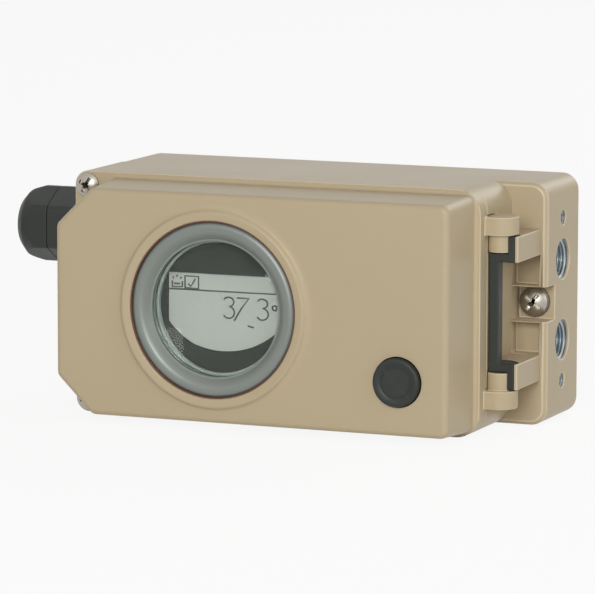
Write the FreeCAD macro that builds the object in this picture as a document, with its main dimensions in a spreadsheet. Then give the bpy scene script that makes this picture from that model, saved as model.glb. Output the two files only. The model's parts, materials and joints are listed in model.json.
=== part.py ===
# Electro-pneumatic valve positioner.
# Millimetres. X runs to the port side, Y from the front to the mounting face, Z up.
# The origin is the feedback shaft's axis at the rear mounting face.
import FreeCAD, Part
import math
import os
from types import SimpleNamespace

import Sketcher
from FreeCAD import Placement, Rotation, Vector

# Driving sizes, in millimetres unless a name says otherwise
SIZES = {
    # Housing casting
    "block_width": 154.0,
    "block_height": 78.8,
    "block_depth": 30.5,
    "block_corner": 5.5,
    "front_inset": 1.2,
    "front_short": 13.3,
    "front_over": 0.6,
    "front_depth": 22.6,
    "front_corner_left": 4.6,
    "front_corner_right": 8.0,
    "bay_wall": 3.9,
    "bay_wall_right": 6.0,
    "bay_depth": 19.1,
    "well_left": 10.0,
    "well_right": 21.0,
    "well_wall": 8.4,
    "rear_wall": 8.0,
    "well_corner": 8.0,
    "edge_round": 1.2,
    # Cover casting
    "parting_gap": 0.2,
    "flange_thick": 6.2,
    "cover_rise": 21.2,
    "cover_border": 2.8,
    "cover_border_right": 3.0,
    "cover_border_top": 2.9,
    "cover_chamfer": 12.3,
    "cover_draft_deg": 3.0,
    "cover_wall": 3.0,
    "cover_edge": 2.0,
    "cover_corner": 3.0,
    "cover_root": 1.2,
    # Hinge
    "hinge_out": 3.4,
    "hinge_set": 3.1,
    "trunnion_radius": 4.0,
    "trunnion_play": 0.05,
    "trunnion_low": 19.3,
    "jaw_floor": 19.0,
    "jaw_low": 16.2,
    "jaw_high": 24.6,
    "jaw_radius": 6.0,
    "jaw_front": 2.5,
    "jaw_inset": 0.4,
    "jaw_play": 0.05,
    "spine_width": 3.3,
    "spine_thick": 3.9,
    "ear_low": 24.9,
    "ear_high": 30.7,
    "ear_radius": 5.8,
    "ear_clearance": 0.3,
    "arm_width": 10.1,
    "arm_reach": 22.0,
    # Recesses between the arms
    "pocket_low": 6.0,
    "pocket_wall": 2.6,
    "pocket_depth": 5.0,
    "notch_half": 5.6,
    "notch_depth": 8.0,
    # Pneumatic ports
    "port_back": 14.9,
    "port_pitch": 26.4,
    "port_radius": 6.58,
    "port_depth": 12.0,
    "port_duct": 4.0,
    "side_hole_pitch": 53.2,
    "side_hole_radius": 2.35,
    "side_hole_depth": 9.0,
    # Rear mounting holes
    "mount_pitch": 50.0,
    "mount_radius": 3.05,
    "mount_depth": 11.0,
    "mount_boss": 5.5,
    "mount_boss_rise": 6.0,
    # Window
    "window_from_left": 55.3,
    "window_drop": 0.2,
    "collar_border": 5.5,
    "collar_rise": 1.2,
    "collar_bevel": 0.5,
    "collar_width": 2.7,
    "bore_depth": 3.5,
    "ring_play": 0.2,
    "ring_flange": 1.0,
    "ring_width": 6.8,
    "ring_crest": 0.9,
    "ring_depth": 7.9,
    "ring_round": 2.8,
    "ring_face": 3.6,
    "glass_hold": 1.8,
    "glass_front": 2.5,
    "glass_thick": 3.0,
    "window_boss_wall": 5.8,
    "retainer_lip": 1.0,
    "retainer_border": 1.2,
    "retainer_thick": 1.8,
    "retainer_screw_inset": 2.0,
    "retainer_screw_radius": 1.0,
    "retainer_screw_head": 1.8,
    "retainer_screw_rise": 1.3,
    "retainer_screw_length": 5.0,
    # Knob
    "knob_from_right": 16.7,
    "knob_drop": 19.6,
    "knob_radius": 7.8,
    "knob_play": 0.3,
    "knob_rise": 2.0,
    "knob_bevel": 0.7,
    "knob_length": 6.2,
    "knob_travel": 1.5,
    "knob_recess": 6.0,
    "knob_boss": 11.0,
    "knob_boss_depth": 12.5,
    "sleeve_radius": 5.0,
    "sleeve_play": 0.05,
    "sleeve_length": 7.0,
    "sleeve_key": 1.2,
    "knob_shaft_radius": 3.0,
    "knob_shaft_end": 15.6,
    "knob_clip_thick": 0.8,
    "knob_clip_radius": 4.6,
    "magnet_radius": 4.0,
    "magnet_thick": 2.0,
    "magnet_gap": 0.8,
    "knob_seal_width": 1.4,
    "knob_seal_depth": 1.5,
    "knob_spring_radius": 7.4,
    "knob_spring_width": 0.8,
    # Cover screws
    "cover_screw_radius": 2.0,
    "cover_screw_head": 4.0,
    "cover_screw_rise": 2.4,
    "cover_screw_reach": 8.0,
    "cover_screw_play": 0.35,
    "clip_radius": 3.4,
    "clip_thick": 0.8,
    # Gasket
    "gasket_width": 2.0,
    "gasket_thick": 1.4,
    "gasket_gap": 0.1,
    "gasket_outset": 1.0,
    # Cable gland
    "gland_back": 19.5,
    "gland_height": 16.3,
    "conduit_boss": 13.5,
    "conduit_boss_length": 10.0,
    "gland_thread": 10.0,
    "gland_thread_length": 15.0,
    "gland_gasket_thick": 1.5,
    "gland_flats": 23.0,
    "gland_hex_length": 11.5,
    "gland_cap_length": 12.2,
    "gland_cap_bore": 7.0,
    "gland_neck": 9.0,
    "gland_neck_length": 7.0,
    "cable_radius": 5.0,
    "gland_seal_radius": 7.6,
    "gland_mouth": 8.6,
    "gland_brow": 11.4,
    "gland_dome": 7.0,
    "gland_lip": 2.6,
    # Ground screws
    "ground_from_right": 6.7,
    "ground_screw_radius": 2.5,
    "ground_head": 4.7,
    "ground_rise": 3.0,
    "ground_screw_length": 8.0,
    "ground_washer_radius": 5.25,
    "ground_washer_thick": 1.0,
    "inner_ground_radius": 2.0,
    "inner_ground_head": 3.9,
    "inner_ground_boss": 5.0,
    "inner_ground_boss_rise": 12.0,
    "inner_ground_from_left": 13.9,
    "inner_ground_drop": 1.0,
    # Mounting plate and its posts
    "post_radius": 3.5,
    "post_top": 36.0,
    "post_from_right": 7.2,
    "post_from_left": 18.0,
    "post_from_wall": 3.0,
    "plate_thick": 1.5,
    "plate_gap_left": 0.5,
    "plate_gap_right": 1.5,
    "plate_cut_width": 12.5,
    "plate_cut_drop": 5.0,
    "plate_clip": 9.0,
    "plate_screw_radius": 1.5,
    "plate_screw_head": 2.8,
    "plate_screw_rise": 1.8,
    "plate_screw_length": 9.0,
    # Electronics
    "sheet_thick": 0.5,
    "board_thick": 1.6,
    "module_left": 26.8,
    "module_option_gap": 3.0,
    "module_gap": 4.8,
    "module_height": 26.0,
    "module_edge": 2.5,
    "module_screw_radius": 1.25,
    "module_screw_head": 2.4,
    "module_screw_inset": 4.0,
    "module_screw_length": 8.0,
    "module_screw_rise": 1.5,
    "bezel_front": 8.2,
    "lcd_recess": 0.5,
    "lcd_left": 18.5,
    "lcd_right": 19.0,
    "lcd_top": 10.3,
    "lcd_arc": 27.0,
    "lcd_bottom": 14.1,
    "lcd_thick": 2.0,
    "lcd_margin": 1.2,
    "terminal_gap_left": 1.0,
    "terminal_width": 10.5,
    "terminal_gap_bottom": 4.0,
    "terminal_top": 5.5,
    "terminal_ways": 4,
    "terminal_height": 13.0,
    "terminal_entry": 1.5,
    "terminal_screw_radius": 1.5,
    "terminal_screw_depth": 3.0,
    "option_gap": 4.9,
    "option_width": 23.0,
    "option_bottom": 0.5,
    "option_from_post": 5.0,
    "option_height": 16.0,
    "sensor_board_left": 10.2,
    "sensor_board_right": 9.8,
    "sensor_board_bottom": 8.4,
    "sensor_board_top": 8.6,
    "sensor_chip": 3.0,
    "sensor_chip_thick": 1.2,
    "sensor_post_radius": 2.0,
    "sensor_post_inset": 2.5,
    # Pneumatics behind the plate
    "ip_from_post": 6.0,
    "ip_right": 6.0,
    "ip_low": 10.5,
    "ip_gap": 1.5,
    "ip_depth": 17.0,
    "booster_width": 24.2,
    "booster_gap": 0.8,
    "booster_half_height": 21.0,
    "booster_back": 9.0,
    "port_seal_width": 2.2,
    # Feedback
    "shaft_radius": 4.0,
    "shaft_out": 20.0,
    "bush_radius": 6.0,
    "bush_play": 0.05,
    "shoulder_gap": 1.0,
    "bush_length": 8.4,
    "shaft_boss": 9.0,
    "shaft_boss_rise": 4.0,
    "shaft_seal_radius": 7.0,
    "shaft_seal_depth": 2.4,
    "gear_module": 1.0,
    "gear_teeth": 36,
    "pinion_teeth": 14,
    "gear_thick": 3.0,
    "gear_reach_deg": 52.0,
    "gear_hub": 7.0,
    "gear_gap": 0.4,
    "gear_backlash": 0.16,
    "tooth_tip": 0.8,
    "tooth_root": 1.05,
    "gear_clip_thick": 0.8,
    "gear_clip_radius": 5.6,
    "sensor_radius": 8.0,
    "sensor_shaft": 1.5,
    "sensor_shaft_play": 0.05,
    "sensor_shaft_in": 5.0,
    "sensor_gap": 0.5,
    "lever_offset": 8.0,
    "lever_thick": 2.5,
    "lever_pin_radius_at": 45.0,
    "lever_end": 51.0,
    "lever_width": 12.0,
    "lever_slot": 3.1,
    "lever_slot_near": 17.0,
    "pin_radius": 3.0,
    "pin_length": 16.0,
    "pin_collar": 4.8,
    "pin_collar_thick": 2.0,
    "lever_washer_radius": 7.5,
    "lever_washer_thick": 1.2,
    "lever_nut_flats": 13.0,
    "lever_nut_thick": 5.0,
    "shoulder_radius": 6.0,
    # Vent
    "vent_across": 50.0,
    "vent_drop": 12.0,
    "vent_radius": 6.0,
    "vent_depth": 3.5,
    "vent_bore": 3.0,
    "vent_filter_radius": 4.2,
    # Buttons on the module
    "button_from_module_right": 5.5,
    "button_from_top": 10.0,
    "button_radius": 2.3,
    "button_play": 0.3,
    "button_rise": 2.4,
    "button_seat": 3.0,
    "button_travel": 1.2,
    "switch_travel": 3.0,
    "switch_width": 3.4,
    "switch_length": 3.6,
    "switch_rise": 2.0,
    "switch_seat": 2.0,
    "switch_low": 12.0,
}

doc = FreeCAD.newDocument("positioner")
sheet = doc.addObject("Spreadsheet::Sheet", "sizes")
for row, (alias, number) in enumerate(SIZES.items(), 1):
    sheet.set(f"A{row}", alias)
    sheet.set(f"B{row}", str(number))
    sheet.setAlias(f"B{row}", alias)
doc.recompute()


class Size:
    """A cell of the sheet, or a sum worked out from cells, that keeps its formula."""

    def __init__(self, value, formula):
        self.value = float(value)
        self.formula = formula

    def __float__(self):
        return self.value

    def __neg__(self):
        return Size(-self.value, f"(-1 * {self.formula})")

    def __add__(self, other):
        other = as_size(other)
        return Size(self.value + other.value, f"({self.formula} + {other.formula})")

    def __sub__(self, other):
        other = as_size(other)
        return Size(self.value - other.value, f"({self.formula} - {other.formula})")

    def __mul__(self, other):
        other = as_size(other)
        return Size(self.value * other.value, f"({self.formula} * {other.formula})")

    def __truediv__(self, other):
        other = as_size(other)
        return Size(self.value / other.value, f"({self.formula} / {other.formula})")

    def __rmul__(self, other):
        return self * other

    def __radd__(self, other):
        return self + other


def as_size(item):
    """Wrap a plain number, and pass a Size through."""
    return item if isinstance(item, Size) else Size(item, repr(float(item)))


S = SimpleNamespace(**{alias: Size(sheet.get(alias), f"sizes.{alias}") for alias in SIZES})
ZERO = as_size(0)
NEAR = 0.01
nodes = []


def bind(item, prop, size):
    """Set a property from a size, and tie it to the sheet."""
    item.setExpression(prop, as_size(size).formula)


def place(item, x, y, z, rotation=Rotation()):
    """Turn an object and tie its place to the sheet."""
    item.Placement = Placement(Vector(float(x), float(y), float(z)), rotation)
    for axis, size in zip("xyz", (x, y, z)):
        bind(item, f"Placement.Base.{axis}", size)
    return item


def box(x, y, z):
    """A box between the low and high limits along each axis."""
    item = doc.addObject("Part::Box", "box")
    for prop, (low, high) in zip(("Length", "Width", "Height"), (x, y, z)):
        bind(item, prop, as_size(high) - low)
    return place(item, x[0], y[0], z[0])


TURN = {"x": Rotation(Vector(0, 1, 0), 90), "y": Rotation(Vector(1, 0, 0), -90), "z": Rotation()}


def along(axis, centre, start):
    """The point at a centre across an axis and at a start along it."""
    first, second = centre
    return {"x": (start, first, second), "y": (first, start, second), "z": (first, second, start)}[axis]


def rod(axis, centre, span, radius, tip_radius=None):
    """A cylinder, or a cone when the far end has a radius of its own."""
    low, high = span
    if tip_radius is None:
        item = doc.addObject("Part::Cylinder", "rod")
        bind(item, "Radius", radius)
    else:
        item = doc.addObject("Part::Cone", "cone")
        bind(item, "Radius1", radius)
        bind(item, "Radius2", tip_radius)
    bind(item, "Height", as_size(high) - low)
    return place(item, *along(axis, centre, low), TURN[axis])


def hexagon(axis, centre, span, across_flats):
    """A six-sided prism of a width across its flats."""
    item = doc.addObject("Part::Prism", "hexagon")
    item.Polygon = 6
    bind(item, "Circumradius", across_flats / math.sqrt(3))
    bind(item, "Height", as_size(span[1]) - span[0])
    return place(item, *along(axis, centre, span[0]), TURN[axis])


def cut(base, *tools):
    item = doc.addObject("Part::Cut", "cut")
    item.Base = base
    item.Tool = tools[0] if len(tools) == 1 else join(*tools)
    return item


def join(*parts):
    item = doc.addObject("Part::MultiFuse", "join")
    item.Shapes = list(parts)
    return item


def common(*parts):
    item = doc.addObject("Part::MultiCommon", "common")
    item.Shapes = list(parts)
    return item


def group(*parts):
    """Several loose solids that share one node."""
    item = doc.addObject("Part::Compound", "group")
    item.Links = list(parts)
    return item


PROFILE_TURN = {
    "y": Rotation(),
    "x": Rotation(Vector(0, 0, 1), Vector(1, 0, 0), Vector(0, 1, 0), "XYZ"),
}


def turned(axis, centre, profile):
    """A turned piece from the radius and level of each corner of its half section."""
    base = along(axis, centre, ZERO)
    sketch = doc.addObject("Sketcher::SketchObject", "profile")
    place(sketch, *base, PROFILE_TURN[axis])
    polygon(sketch, profile)
    item = doc.addObject("Part::Revolution", "turned")
    item.Source = sketch
    item.Solid = True
    item.Axis = {"x": Vector(1, 0, 0), "y": Vector(0, 1, 0)}[axis]
    for letter, size in zip("xyz", base):
        bind(item, f"Base.{letter}", size)
    return item


def rounded(base, radius, wanted):
    """Round the edges of an object that a test picks."""
    doc.recompute()
    item = doc.addObject("Part::Fillet", "rounded")
    item.Base = base
    picked = [number for number, edge in enumerate(base.Shape.Edges, 1) if wanted(edge)]
    item.Edges = [(number, float(radius), float(radius)) for number in picked]
    return item


def node(label, item):
    """Give a finished object its name as a sub-part."""
    item.Label = label
    nodes.append(item)
    return item


def parallel(edge, axis):
    """True for a straight edge along an axis."""
    if not isinstance(edge.Curve, Part.Line):
        return False
    direction = edge.Curve.Direction
    return abs(getattr(direction, axis)) > 0.999


def at_level(edge, axis, level):
    """True for an edge that lies wholly in a plane across an axis."""
    limits = edge.BoundBox
    low, high = getattr(limits, axis.upper() + "Min"), getattr(limits, axis.upper() + "Max")
    return abs(low - float(level)) < NEAR and abs(high - float(level)) < NEAR


def spans(edge, axis, one_level, other_level):
    """True for an edge that runs from one plane across an axis to another."""
    length = getattr(edge.BoundBox, axis.upper() + "Length")
    return abs(length - abs(float(one_level) - float(other_level))) < NEAR


class Body:
    """A piece made as a run of sketched features."""

    def __init__(self, label):
        self.body = doc.addObject("PartDesign::Body", label)
        nodes.append(self.body)

    def sketch(self, plane, level):
        """A sketch on an origin plane at a level. On XZ, up is Z and it looks from the front."""
        sketch = self.body.newObject("Sketcher::SketchObject", "sketch")
        origin_plane = next(item for item in self.body.Origin.OriginFeatures if item.Role == plane + "_Plane")
        sketch.AttachmentSupport = (origin_plane, [""])
        sketch.MapMode = "FlatFace"
        offset = -as_size(level) if plane == "XZ" else as_size(level)
        bind(sketch, "AttachmentOffset.Base.z", offset)
        return sketch

    def pad(self, sketch, length):
        feature = self.body.newObject("PartDesign::Pad", "pad")
        feature.Profile = sketch
        bind(feature, "Length", length)
        doc.recompute()
        return feature

    def pocket(self, sketch, length):
        feature = self.body.newObject("PartDesign::Pocket", "pocket")
        feature.Profile = sketch
        bind(feature, "Length", length)
        doc.recompute()
        return feature

    def draft(self, angle, level):
        """Slope every side wall of the last feature, from its full outline in the plane at a level."""
        base = self.body.Tip
        faces = list(enumerate(base.Shape.Faces, 1))
        walls = [f"Face{number}" for number, face in faces if abs(face.normalAt(0, 0).y) < NEAR]
        neutral = next(f"Face{number}" for number, face in faces if at_level(face, "y", level))
        feature = self.body.newObject("PartDesign::Draft", "draft")
        feature.Base = (base, walls)
        feature.NeutralPlane = (base, [neutral])
        feature.Reversed = True
        feature.Angle = float(angle)
        doc.recompute()
        bind(feature, "Angle", angle)
        doc.recompute()
        return feature

    def fillet(self, radius, wanted):
        return self.dress("Fillet", "Radius", radius, wanted)

    def chamfer(self, size, wanted):
        return self.dress("Chamfer", "Size", size, wanted)

    def dress(self, kind, prop, size, wanted):
        """Round or bevel the edges that a test picks."""
        base = self.body.Tip
        names = [f"Edge{number}" for number, edge in enumerate(base.Shape.Edges, 1) if wanted(edge)]
        feature = self.body.newObject("PartDesign::" + kind, kind.lower())
        feature.Base = (base, names)
        bind(feature, prop, size)
        doc.recompute()
        return feature


def fix(sketch, geometry, position, u, v):
    """Tie a point of a sketch to its distances from the sketch's origin."""
    for kind, size in (("DistanceX", u), ("DistanceY", v)):
        size = as_size(size)
        number = sketch.addConstraint(Sketcher.Constraint(kind, -1, 1, geometry, position, size.value))
        sketch.setExpression(f"Constraints[{number}]", size.formula)


def fix_radius(sketch, geometry, radius):
    number = sketch.addConstraint(Sketcher.Constraint("Radius", geometry, float(radius)))
    sketch.setExpression(f"Constraints[{number}]", as_size(radius).formula)


def circle(sketch, centre, radius):
    u, v = centre
    outline = Part.Circle(Vector(float(u), float(v), 0), Vector(0, 0, 1), float(radius))
    geometry = sketch.addGeometry(outline, False)
    fix(sketch, geometry, 3, u, v)
    fix_radius(sketch, geometry, radius)
    return sketch


def polygon(sketch, points):
    """A closed outline of straight lines through points."""
    spots = [Vector(float(u), float(v), 0) for u, v in points]
    first = sketch.GeometryCount
    count = len(spots)
    for index, spot in enumerate(spots):
        sketch.addGeometry(Part.LineSegment(spot, spots[(index + 1) % count]), False)
    for index, (u, v) in enumerate(points):
        following = first + (index + 1) % count
        sketch.addConstraint(Sketcher.Constraint("Coincident", first + index, 2, following, 1))
        fix(sketch, first + index, 1, u, v)
    return sketch


def rectangle(sketch, u, v):
    return polygon(sketch, [(u[0], v[0]), (u[1], v[0]), (u[1], v[1]), (u[0], v[1])])


def round_rectangle(sketch, u, v, left_radius, right_radius):
    """A rectangle whose corners are arcs that run into its sides."""
    corners = [
        (u[1] - right_radius, v[0] + right_radius, right_radius, -90),
        (u[1] - right_radius, v[1] - right_radius, right_radius, 0),
        (u[0] + left_radius, v[1] - left_radius, left_radius, 90),
        (u[0] + left_radius, v[0] + left_radius, left_radius, 180),
    ]
    arcs = []
    for centre_u, centre_v, radius, start in corners:
        base = Part.Circle(Vector(float(centre_u), float(centre_v), 0), Vector(0, 0, 1), float(radius))
        arc = Part.ArcOfCircle(base, math.radians(start), math.radians(start + 90))
        geometry = sketch.addGeometry(arc, False)
        arcs.append((geometry, arc))
        fix(sketch, geometry, 3, centre_u, centre_v)
        fix_radius(sketch, geometry, radius)
    for index, (geometry, arc) in enumerate(arcs):
        following, next_arc = arcs[(index + 1) % 4]
        side = sketch.addGeometry(Part.LineSegment(arc.EndPoint, next_arc.StartPoint), False)
        sketch.addConstraint(Sketcher.Constraint("Tangent", geometry, 2, side, 1))
        sketch.addConstraint(Sketcher.Constraint("Tangent", side, 2, following, 1))
    return sketch


def clipped(left, right, half, chamfer, grow=0.0):
    """Six corners of the cover's outline, chamfered at the left, moved outwards all round."""
    grow = as_size(grow)
    leg = chamfer + grow * (2 - math.sqrt(2))
    low_left, high_right, top = left - grow, right + grow, half + grow
    return [
        (low_left, -(top - leg)),
        (low_left + leg, -top),
        (high_right, -top),
        (high_right, top),
        (low_left + leg, top),
        (low_left, top - leg),
    ]


# Levels from the rear mounting face at Y 0 to the front, which is at negative Y
step = -S.block_depth
parting = step - S.front_depth
flange_back = parting - S.parting_gap
flange_front = flange_back - S.flange_thick
cover_front = flange_front - S.cover_rise
plate_back = -S.post_top
plate_front = plate_back - S.plate_thick

# Lines across the object
block_left = -(S.block_width / 2)
block_right = S.block_width / 2
front_left = block_left + S.front_inset
front_right = front_left + S.block_width - S.front_short
front_height = S.block_height + S.front_over
cover_left = front_left + S.cover_border
cover_right = front_right - S.cover_border_right
cover_half = front_height / 2 - S.cover_border_top
hinge_x = front_right + S.hinge_out
hinge_y = parting + S.hinge_set
window_x = cover_left + S.window_from_left
window_z = -S.window_drop
collar_radius = cover_half - S.collar_border
window_bore = collar_radius - S.collar_width
ring_flange = window_bore + S.ring_flange
ring_inner = window_bore - S.ring_width
ring_face = window_bore - S.ring_face
glass_radius = ring_inner + S.glass_hold
window_boss = window_bore + S.window_boss_wall
retainer_inner = glass_radius - S.retainer_lip
retainer_outer = window_boss - S.retainer_border
retainer_screw_circle = retainer_outer - S.retainer_screw_inset
knob_x = cover_right - S.knob_from_right
knob_z = -S.knob_drop
screw_x = front_left + S.front_corner_left
screw_z = front_height / 2 - S.front_corner_left
port_y = -S.port_back
ground_x = block_right - S.ground_from_right
ground_floor = step + S.notch_depth
bay_left = front_left + S.bay_wall
bay_right = front_right - S.bay_wall_right
bay_half = front_height / 2 - S.bay_wall
well_left = block_left + S.well_left
well_right = block_right - S.well_right
well_half = S.block_height / 2 - S.well_wall
post_half = well_half - S.post_from_wall
plate_half = post_half + S.post_radius
plate_left = well_left + S.plate_gap_left
plate_right = well_right - S.plate_gap_right
plate_cut = plate_left + S.plate_cut_width
module_half = bay_half - S.module_gap
terminal_left = well_left + S.terminal_gap_left
terminal_right = terminal_left + S.terminal_width
terminal_bottom = S.terminal_gap_bottom - well_half
option_right = bay_right - S.option_gap
UP_AND_DOWN = (1, -1)


# Casing: the housing is the rear block with its well, ports, ground-screw notch and conduit boss.
# The front section with the bay, and the two hinge arms, meet it face to face.
housing = Body("housing")
outline = housing.sketch("XZ", ZERO)
block_span = (-(S.block_height / 2), S.block_height / 2)
round_rectangle(outline, (block_left, block_right), block_span, S.block_corner, S.block_corner)
housing.pad(outline, S.block_depth)
housing.chamfer(S.edge_round, lambda edge: at_level(edge, "y", step))

recess = housing.sketch("XZ", step)
rectangle(recess, (front_right, block_right - S.pocket_wall), (S.pocket_low, S.jaw_low))
rectangle(recess, (front_right, block_right - S.pocket_wall), (-S.jaw_low, -S.pocket_low))
housing.pocket(recess, S.pocket_depth)
ground_notch = housing.sketch("XZ", step)
rectangle(ground_notch, (front_right, block_right + S.edge_round), (-S.notch_half, S.notch_half))
housing.pocket(ground_notch, S.notch_depth)

well = housing.sketch("XZ", step)
round_rectangle(well, (well_left, well_right), (-well_half, well_half), S.well_corner, S.well_corner)
housing.pocket(well, S.block_depth - S.rear_wall)

conduit = housing.sketch("YZ", block_left - S.conduit_boss_length)
circle(conduit, (-S.gland_back, S.gland_height), S.conduit_boss)
housing.pad(conduit, S.conduit_boss_length + S.edge_round)
conduit_bore = housing.sketch("YZ", block_left - S.conduit_boss_length)
circle(conduit_bore, (-S.gland_back, S.gland_height), S.gland_thread)
conduit_cut = housing.pocket(conduit_bore, S.conduit_boss_length + S.well_left + S.edge_round)
conduit_cut.Reversed = True

bosses = housing.sketch("XZ", -S.rear_wall)
for across in UP_AND_DOWN:
    for up in UP_AND_DOWN:
        circle(bosses, (across * S.mount_pitch / 2, up * S.mount_pitch / 2), S.mount_boss)
housing.pad(bosses, S.mount_boss_rise)
shaft_boss = housing.sketch("XZ", -S.rear_wall)
circle(shaft_boss, (ZERO, ZERO), S.shaft_boss)
housing.pad(shaft_boss, S.shaft_boss_rise)
posts = housing.sketch("XZ", -S.rear_wall)
POST_LINES = (well_right - S.post_from_right, well_left + S.post_from_left)
POSTS = [(x, up * post_half) for x in POST_LINES for up in UP_AND_DOWN]
for centre in POSTS:
    circle(posts, centre, S.post_radius)
housing.pad(posts, S.post_top - S.rear_wall)
inner_ground = (block_left + S.inner_ground_from_left, -S.inner_ground_drop)
ground_boss = housing.sketch("XZ", -S.rear_wall)
circle(ground_boss, inner_ground, S.inner_ground_boss)
housing.pad(ground_boss, S.inner_ground_boss_rise)

shaft_hole = housing.sketch("XZ", -(S.rear_wall + S.shaft_boss_rise))
circle(shaft_hole, (ZERO, ZERO), S.bush_radius)
housing.pocket(shaft_hole, S.rear_wall + S.shaft_boss_rise)
seal_seat = housing.sketch("XZ", -S.shaft_seal_depth)
circle(seal_seat, (ZERO, ZERO), S.shaft_seal_radius)
housing.pocket(seal_seat, S.shaft_seal_depth)
mount_holes = housing.sketch("XZ", -S.mount_depth)
for across in UP_AND_DOWN:
    for up in UP_AND_DOWN:
        circle(mount_holes, (across * S.mount_pitch / 2, up * S.mount_pitch / 2), S.mount_radius)
housing.pocket(mount_holes, S.mount_depth)
vent = (-S.vent_across, -S.vent_drop)
vent_seat = housing.sketch("XZ", -S.vent_depth)
circle(vent_seat, vent, S.vent_radius)
housing.pocket(vent_seat, S.vent_depth)
vent_bore = housing.sketch("XZ", -S.rear_wall)
circle(vent_bore, vent, S.vent_bore)
housing.pocket(vent_bore, S.rear_wall)

post_holes = housing.sketch("XZ", plate_back)
for centre in POSTS:
    circle(post_holes, centre, S.plate_screw_radius)
housing.pocket(post_holes, S.plate_screw_length)
ground_hole = housing.sketch("XZ", ground_floor)
circle(ground_hole, (ground_x, ZERO), S.ground_screw_radius)
housing.pocket(ground_hole, S.ground_screw_length)
inner_hole = housing.sketch("XZ", -(S.rear_wall + S.inner_ground_boss_rise))
circle(inner_hole, inner_ground, S.inner_ground_radius)
housing.pocket(inner_hole, S.inner_ground_boss_rise - S.edge_round)

ports = housing.sketch("YZ", block_right)
ducts = housing.sketch("YZ", block_right)
side_holes = housing.sketch("YZ", block_right)
for up in UP_AND_DOWN:
    circle(ports, (port_y, up * S.port_pitch / 2), S.port_radius)
    circle(ducts, (port_y, up * S.port_pitch / 2), S.port_duct)
    circle(side_holes, (port_y, up * S.side_hole_pitch / 2), S.side_hole_radius)
housing.pocket(ports, S.port_depth)
housing.pocket(ducts, S.well_right)
housing.pocket(side_holes, S.side_hole_depth)

front = Body("front_section")
frame = front.sketch("XZ", step)
round_rectangle(
    frame,
    (front_left, front_right),
    (-(front_height / 2), front_height / 2),
    S.front_corner_left,
    S.front_corner_right,
)
front.pad(frame, S.front_depth)
bay = front.sketch("XZ", parting)
polygon(bay, clipped(bay_left, bay_right, bay_half, S.cover_chamfer))
front.pocket(bay, S.bay_depth)
opening = front.sketch("XZ", parting)
round_rectangle(opening, (well_left, well_right), (-well_half, well_half), S.well_corner, S.well_corner)
front.pocket(opening, S.front_depth)
post_gaps = front.sketch("XZ", parting)
for centre in POSTS:
    circle(post_gaps, centre, S.post_radius + S.parting_gap)
front.pocket(post_gaps, S.front_depth)
closing_holes = front.sketch("XZ", parting)
for up in UP_AND_DOWN:
    circle(closing_holes, (screw_x, up * screw_z), S.cover_screw_radius + S.cover_screw_play)
front.pocket(closing_holes, S.cover_screw_reach + S.cover_screw_play)

arms = Body("hinge_arms")
pair = arms.sketch("XZ", step)
for low, high in ((S.jaw_low, S.jaw_high), (-S.jaw_high, -S.jaw_low)):
    rectangle(pair, (front_right, front_right + S.arm_width), (low, high))
arms.pad(pair, S.arm_reach)
seat = arms.sketch("XY", S.jaw_high)
circle(seat, (hinge_x, hinge_y), S.jaw_radius + S.jaw_play)
arms.pocket(seat, S.jaw_high * 2)

ear_notch = S.ear_radius + S.ear_clearance
trunnion_depth = S.jaw_high - S.trunnion_low + S.ear_clearance
for piece in (front, arms):
    for level in (S.ear_high + S.ear_clearance, -(S.ear_low - S.ear_clearance)):
        notch = piece.sketch("XY", level)
        circle(notch, (hinge_x, hinge_y), ear_notch)
        piece.pocket(notch, S.ear_high - S.ear_low + 2 * S.ear_clearance)
for level in (S.jaw_high, -(S.trunnion_low - S.ear_clearance)):
    relief = front.sketch("XY", level)
    circle(relief, (hinge_x, hinge_y), S.trunnion_radius + S.ear_clearance)
    front.pocket(relief, trunnion_depth)


# Cover: aluminium casting with a raised face, a flange on the parting plane, the window collar,
# the knob's boss and two hinge ears with trunnions.
cover = Body("cover")
raised = cover.sketch("XZ", flange_front)
polygon(raised, clipped(cover_left, cover_right, cover_half, S.cover_chamfer))
cover.pad(raised, S.cover_rise)
cover.draft(S.cover_draft_deg, cover_front)
cover.fillet(S.cover_corner, lambda edge: spans(edge, "y", flange_front, cover_front))
cover.fillet(S.cover_edge, lambda edge: at_level(edge, "y", cover_front))
flange = cover.sketch("XZ", flange_back)
round_rectangle(
    flange,
    (front_left, front_right),
    (-(front_height / 2), front_height / 2),
    S.front_corner_left,
    S.front_corner_right,
)
cover.pad(flange, S.flange_thick)


def at_root(edge):
    """True for an edge where the raised face meets the flange, inside the flange's rim."""
    limits = edge.BoundBox
    inside = float(front_left) < limits.XMin - NEAR and limits.XMax + NEAR < float(front_right)
    below_rim = max(limits.ZMax, -limits.ZMin) < float(front_height / 2) - NEAR
    return at_level(edge, "y", flange_front) and inside and below_rim


cover.fillet(S.cover_root, at_root)
hollow = cover.sketch("XZ", flange_back)
polygon(hollow, clipped(cover_left, cover_right, cover_half, S.cover_chamfer, -S.cover_wall))
hollow_cut = cover.pocket(hollow, S.flange_thick + S.cover_rise - S.cover_wall)
hollow_cut.Reversed = True

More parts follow.
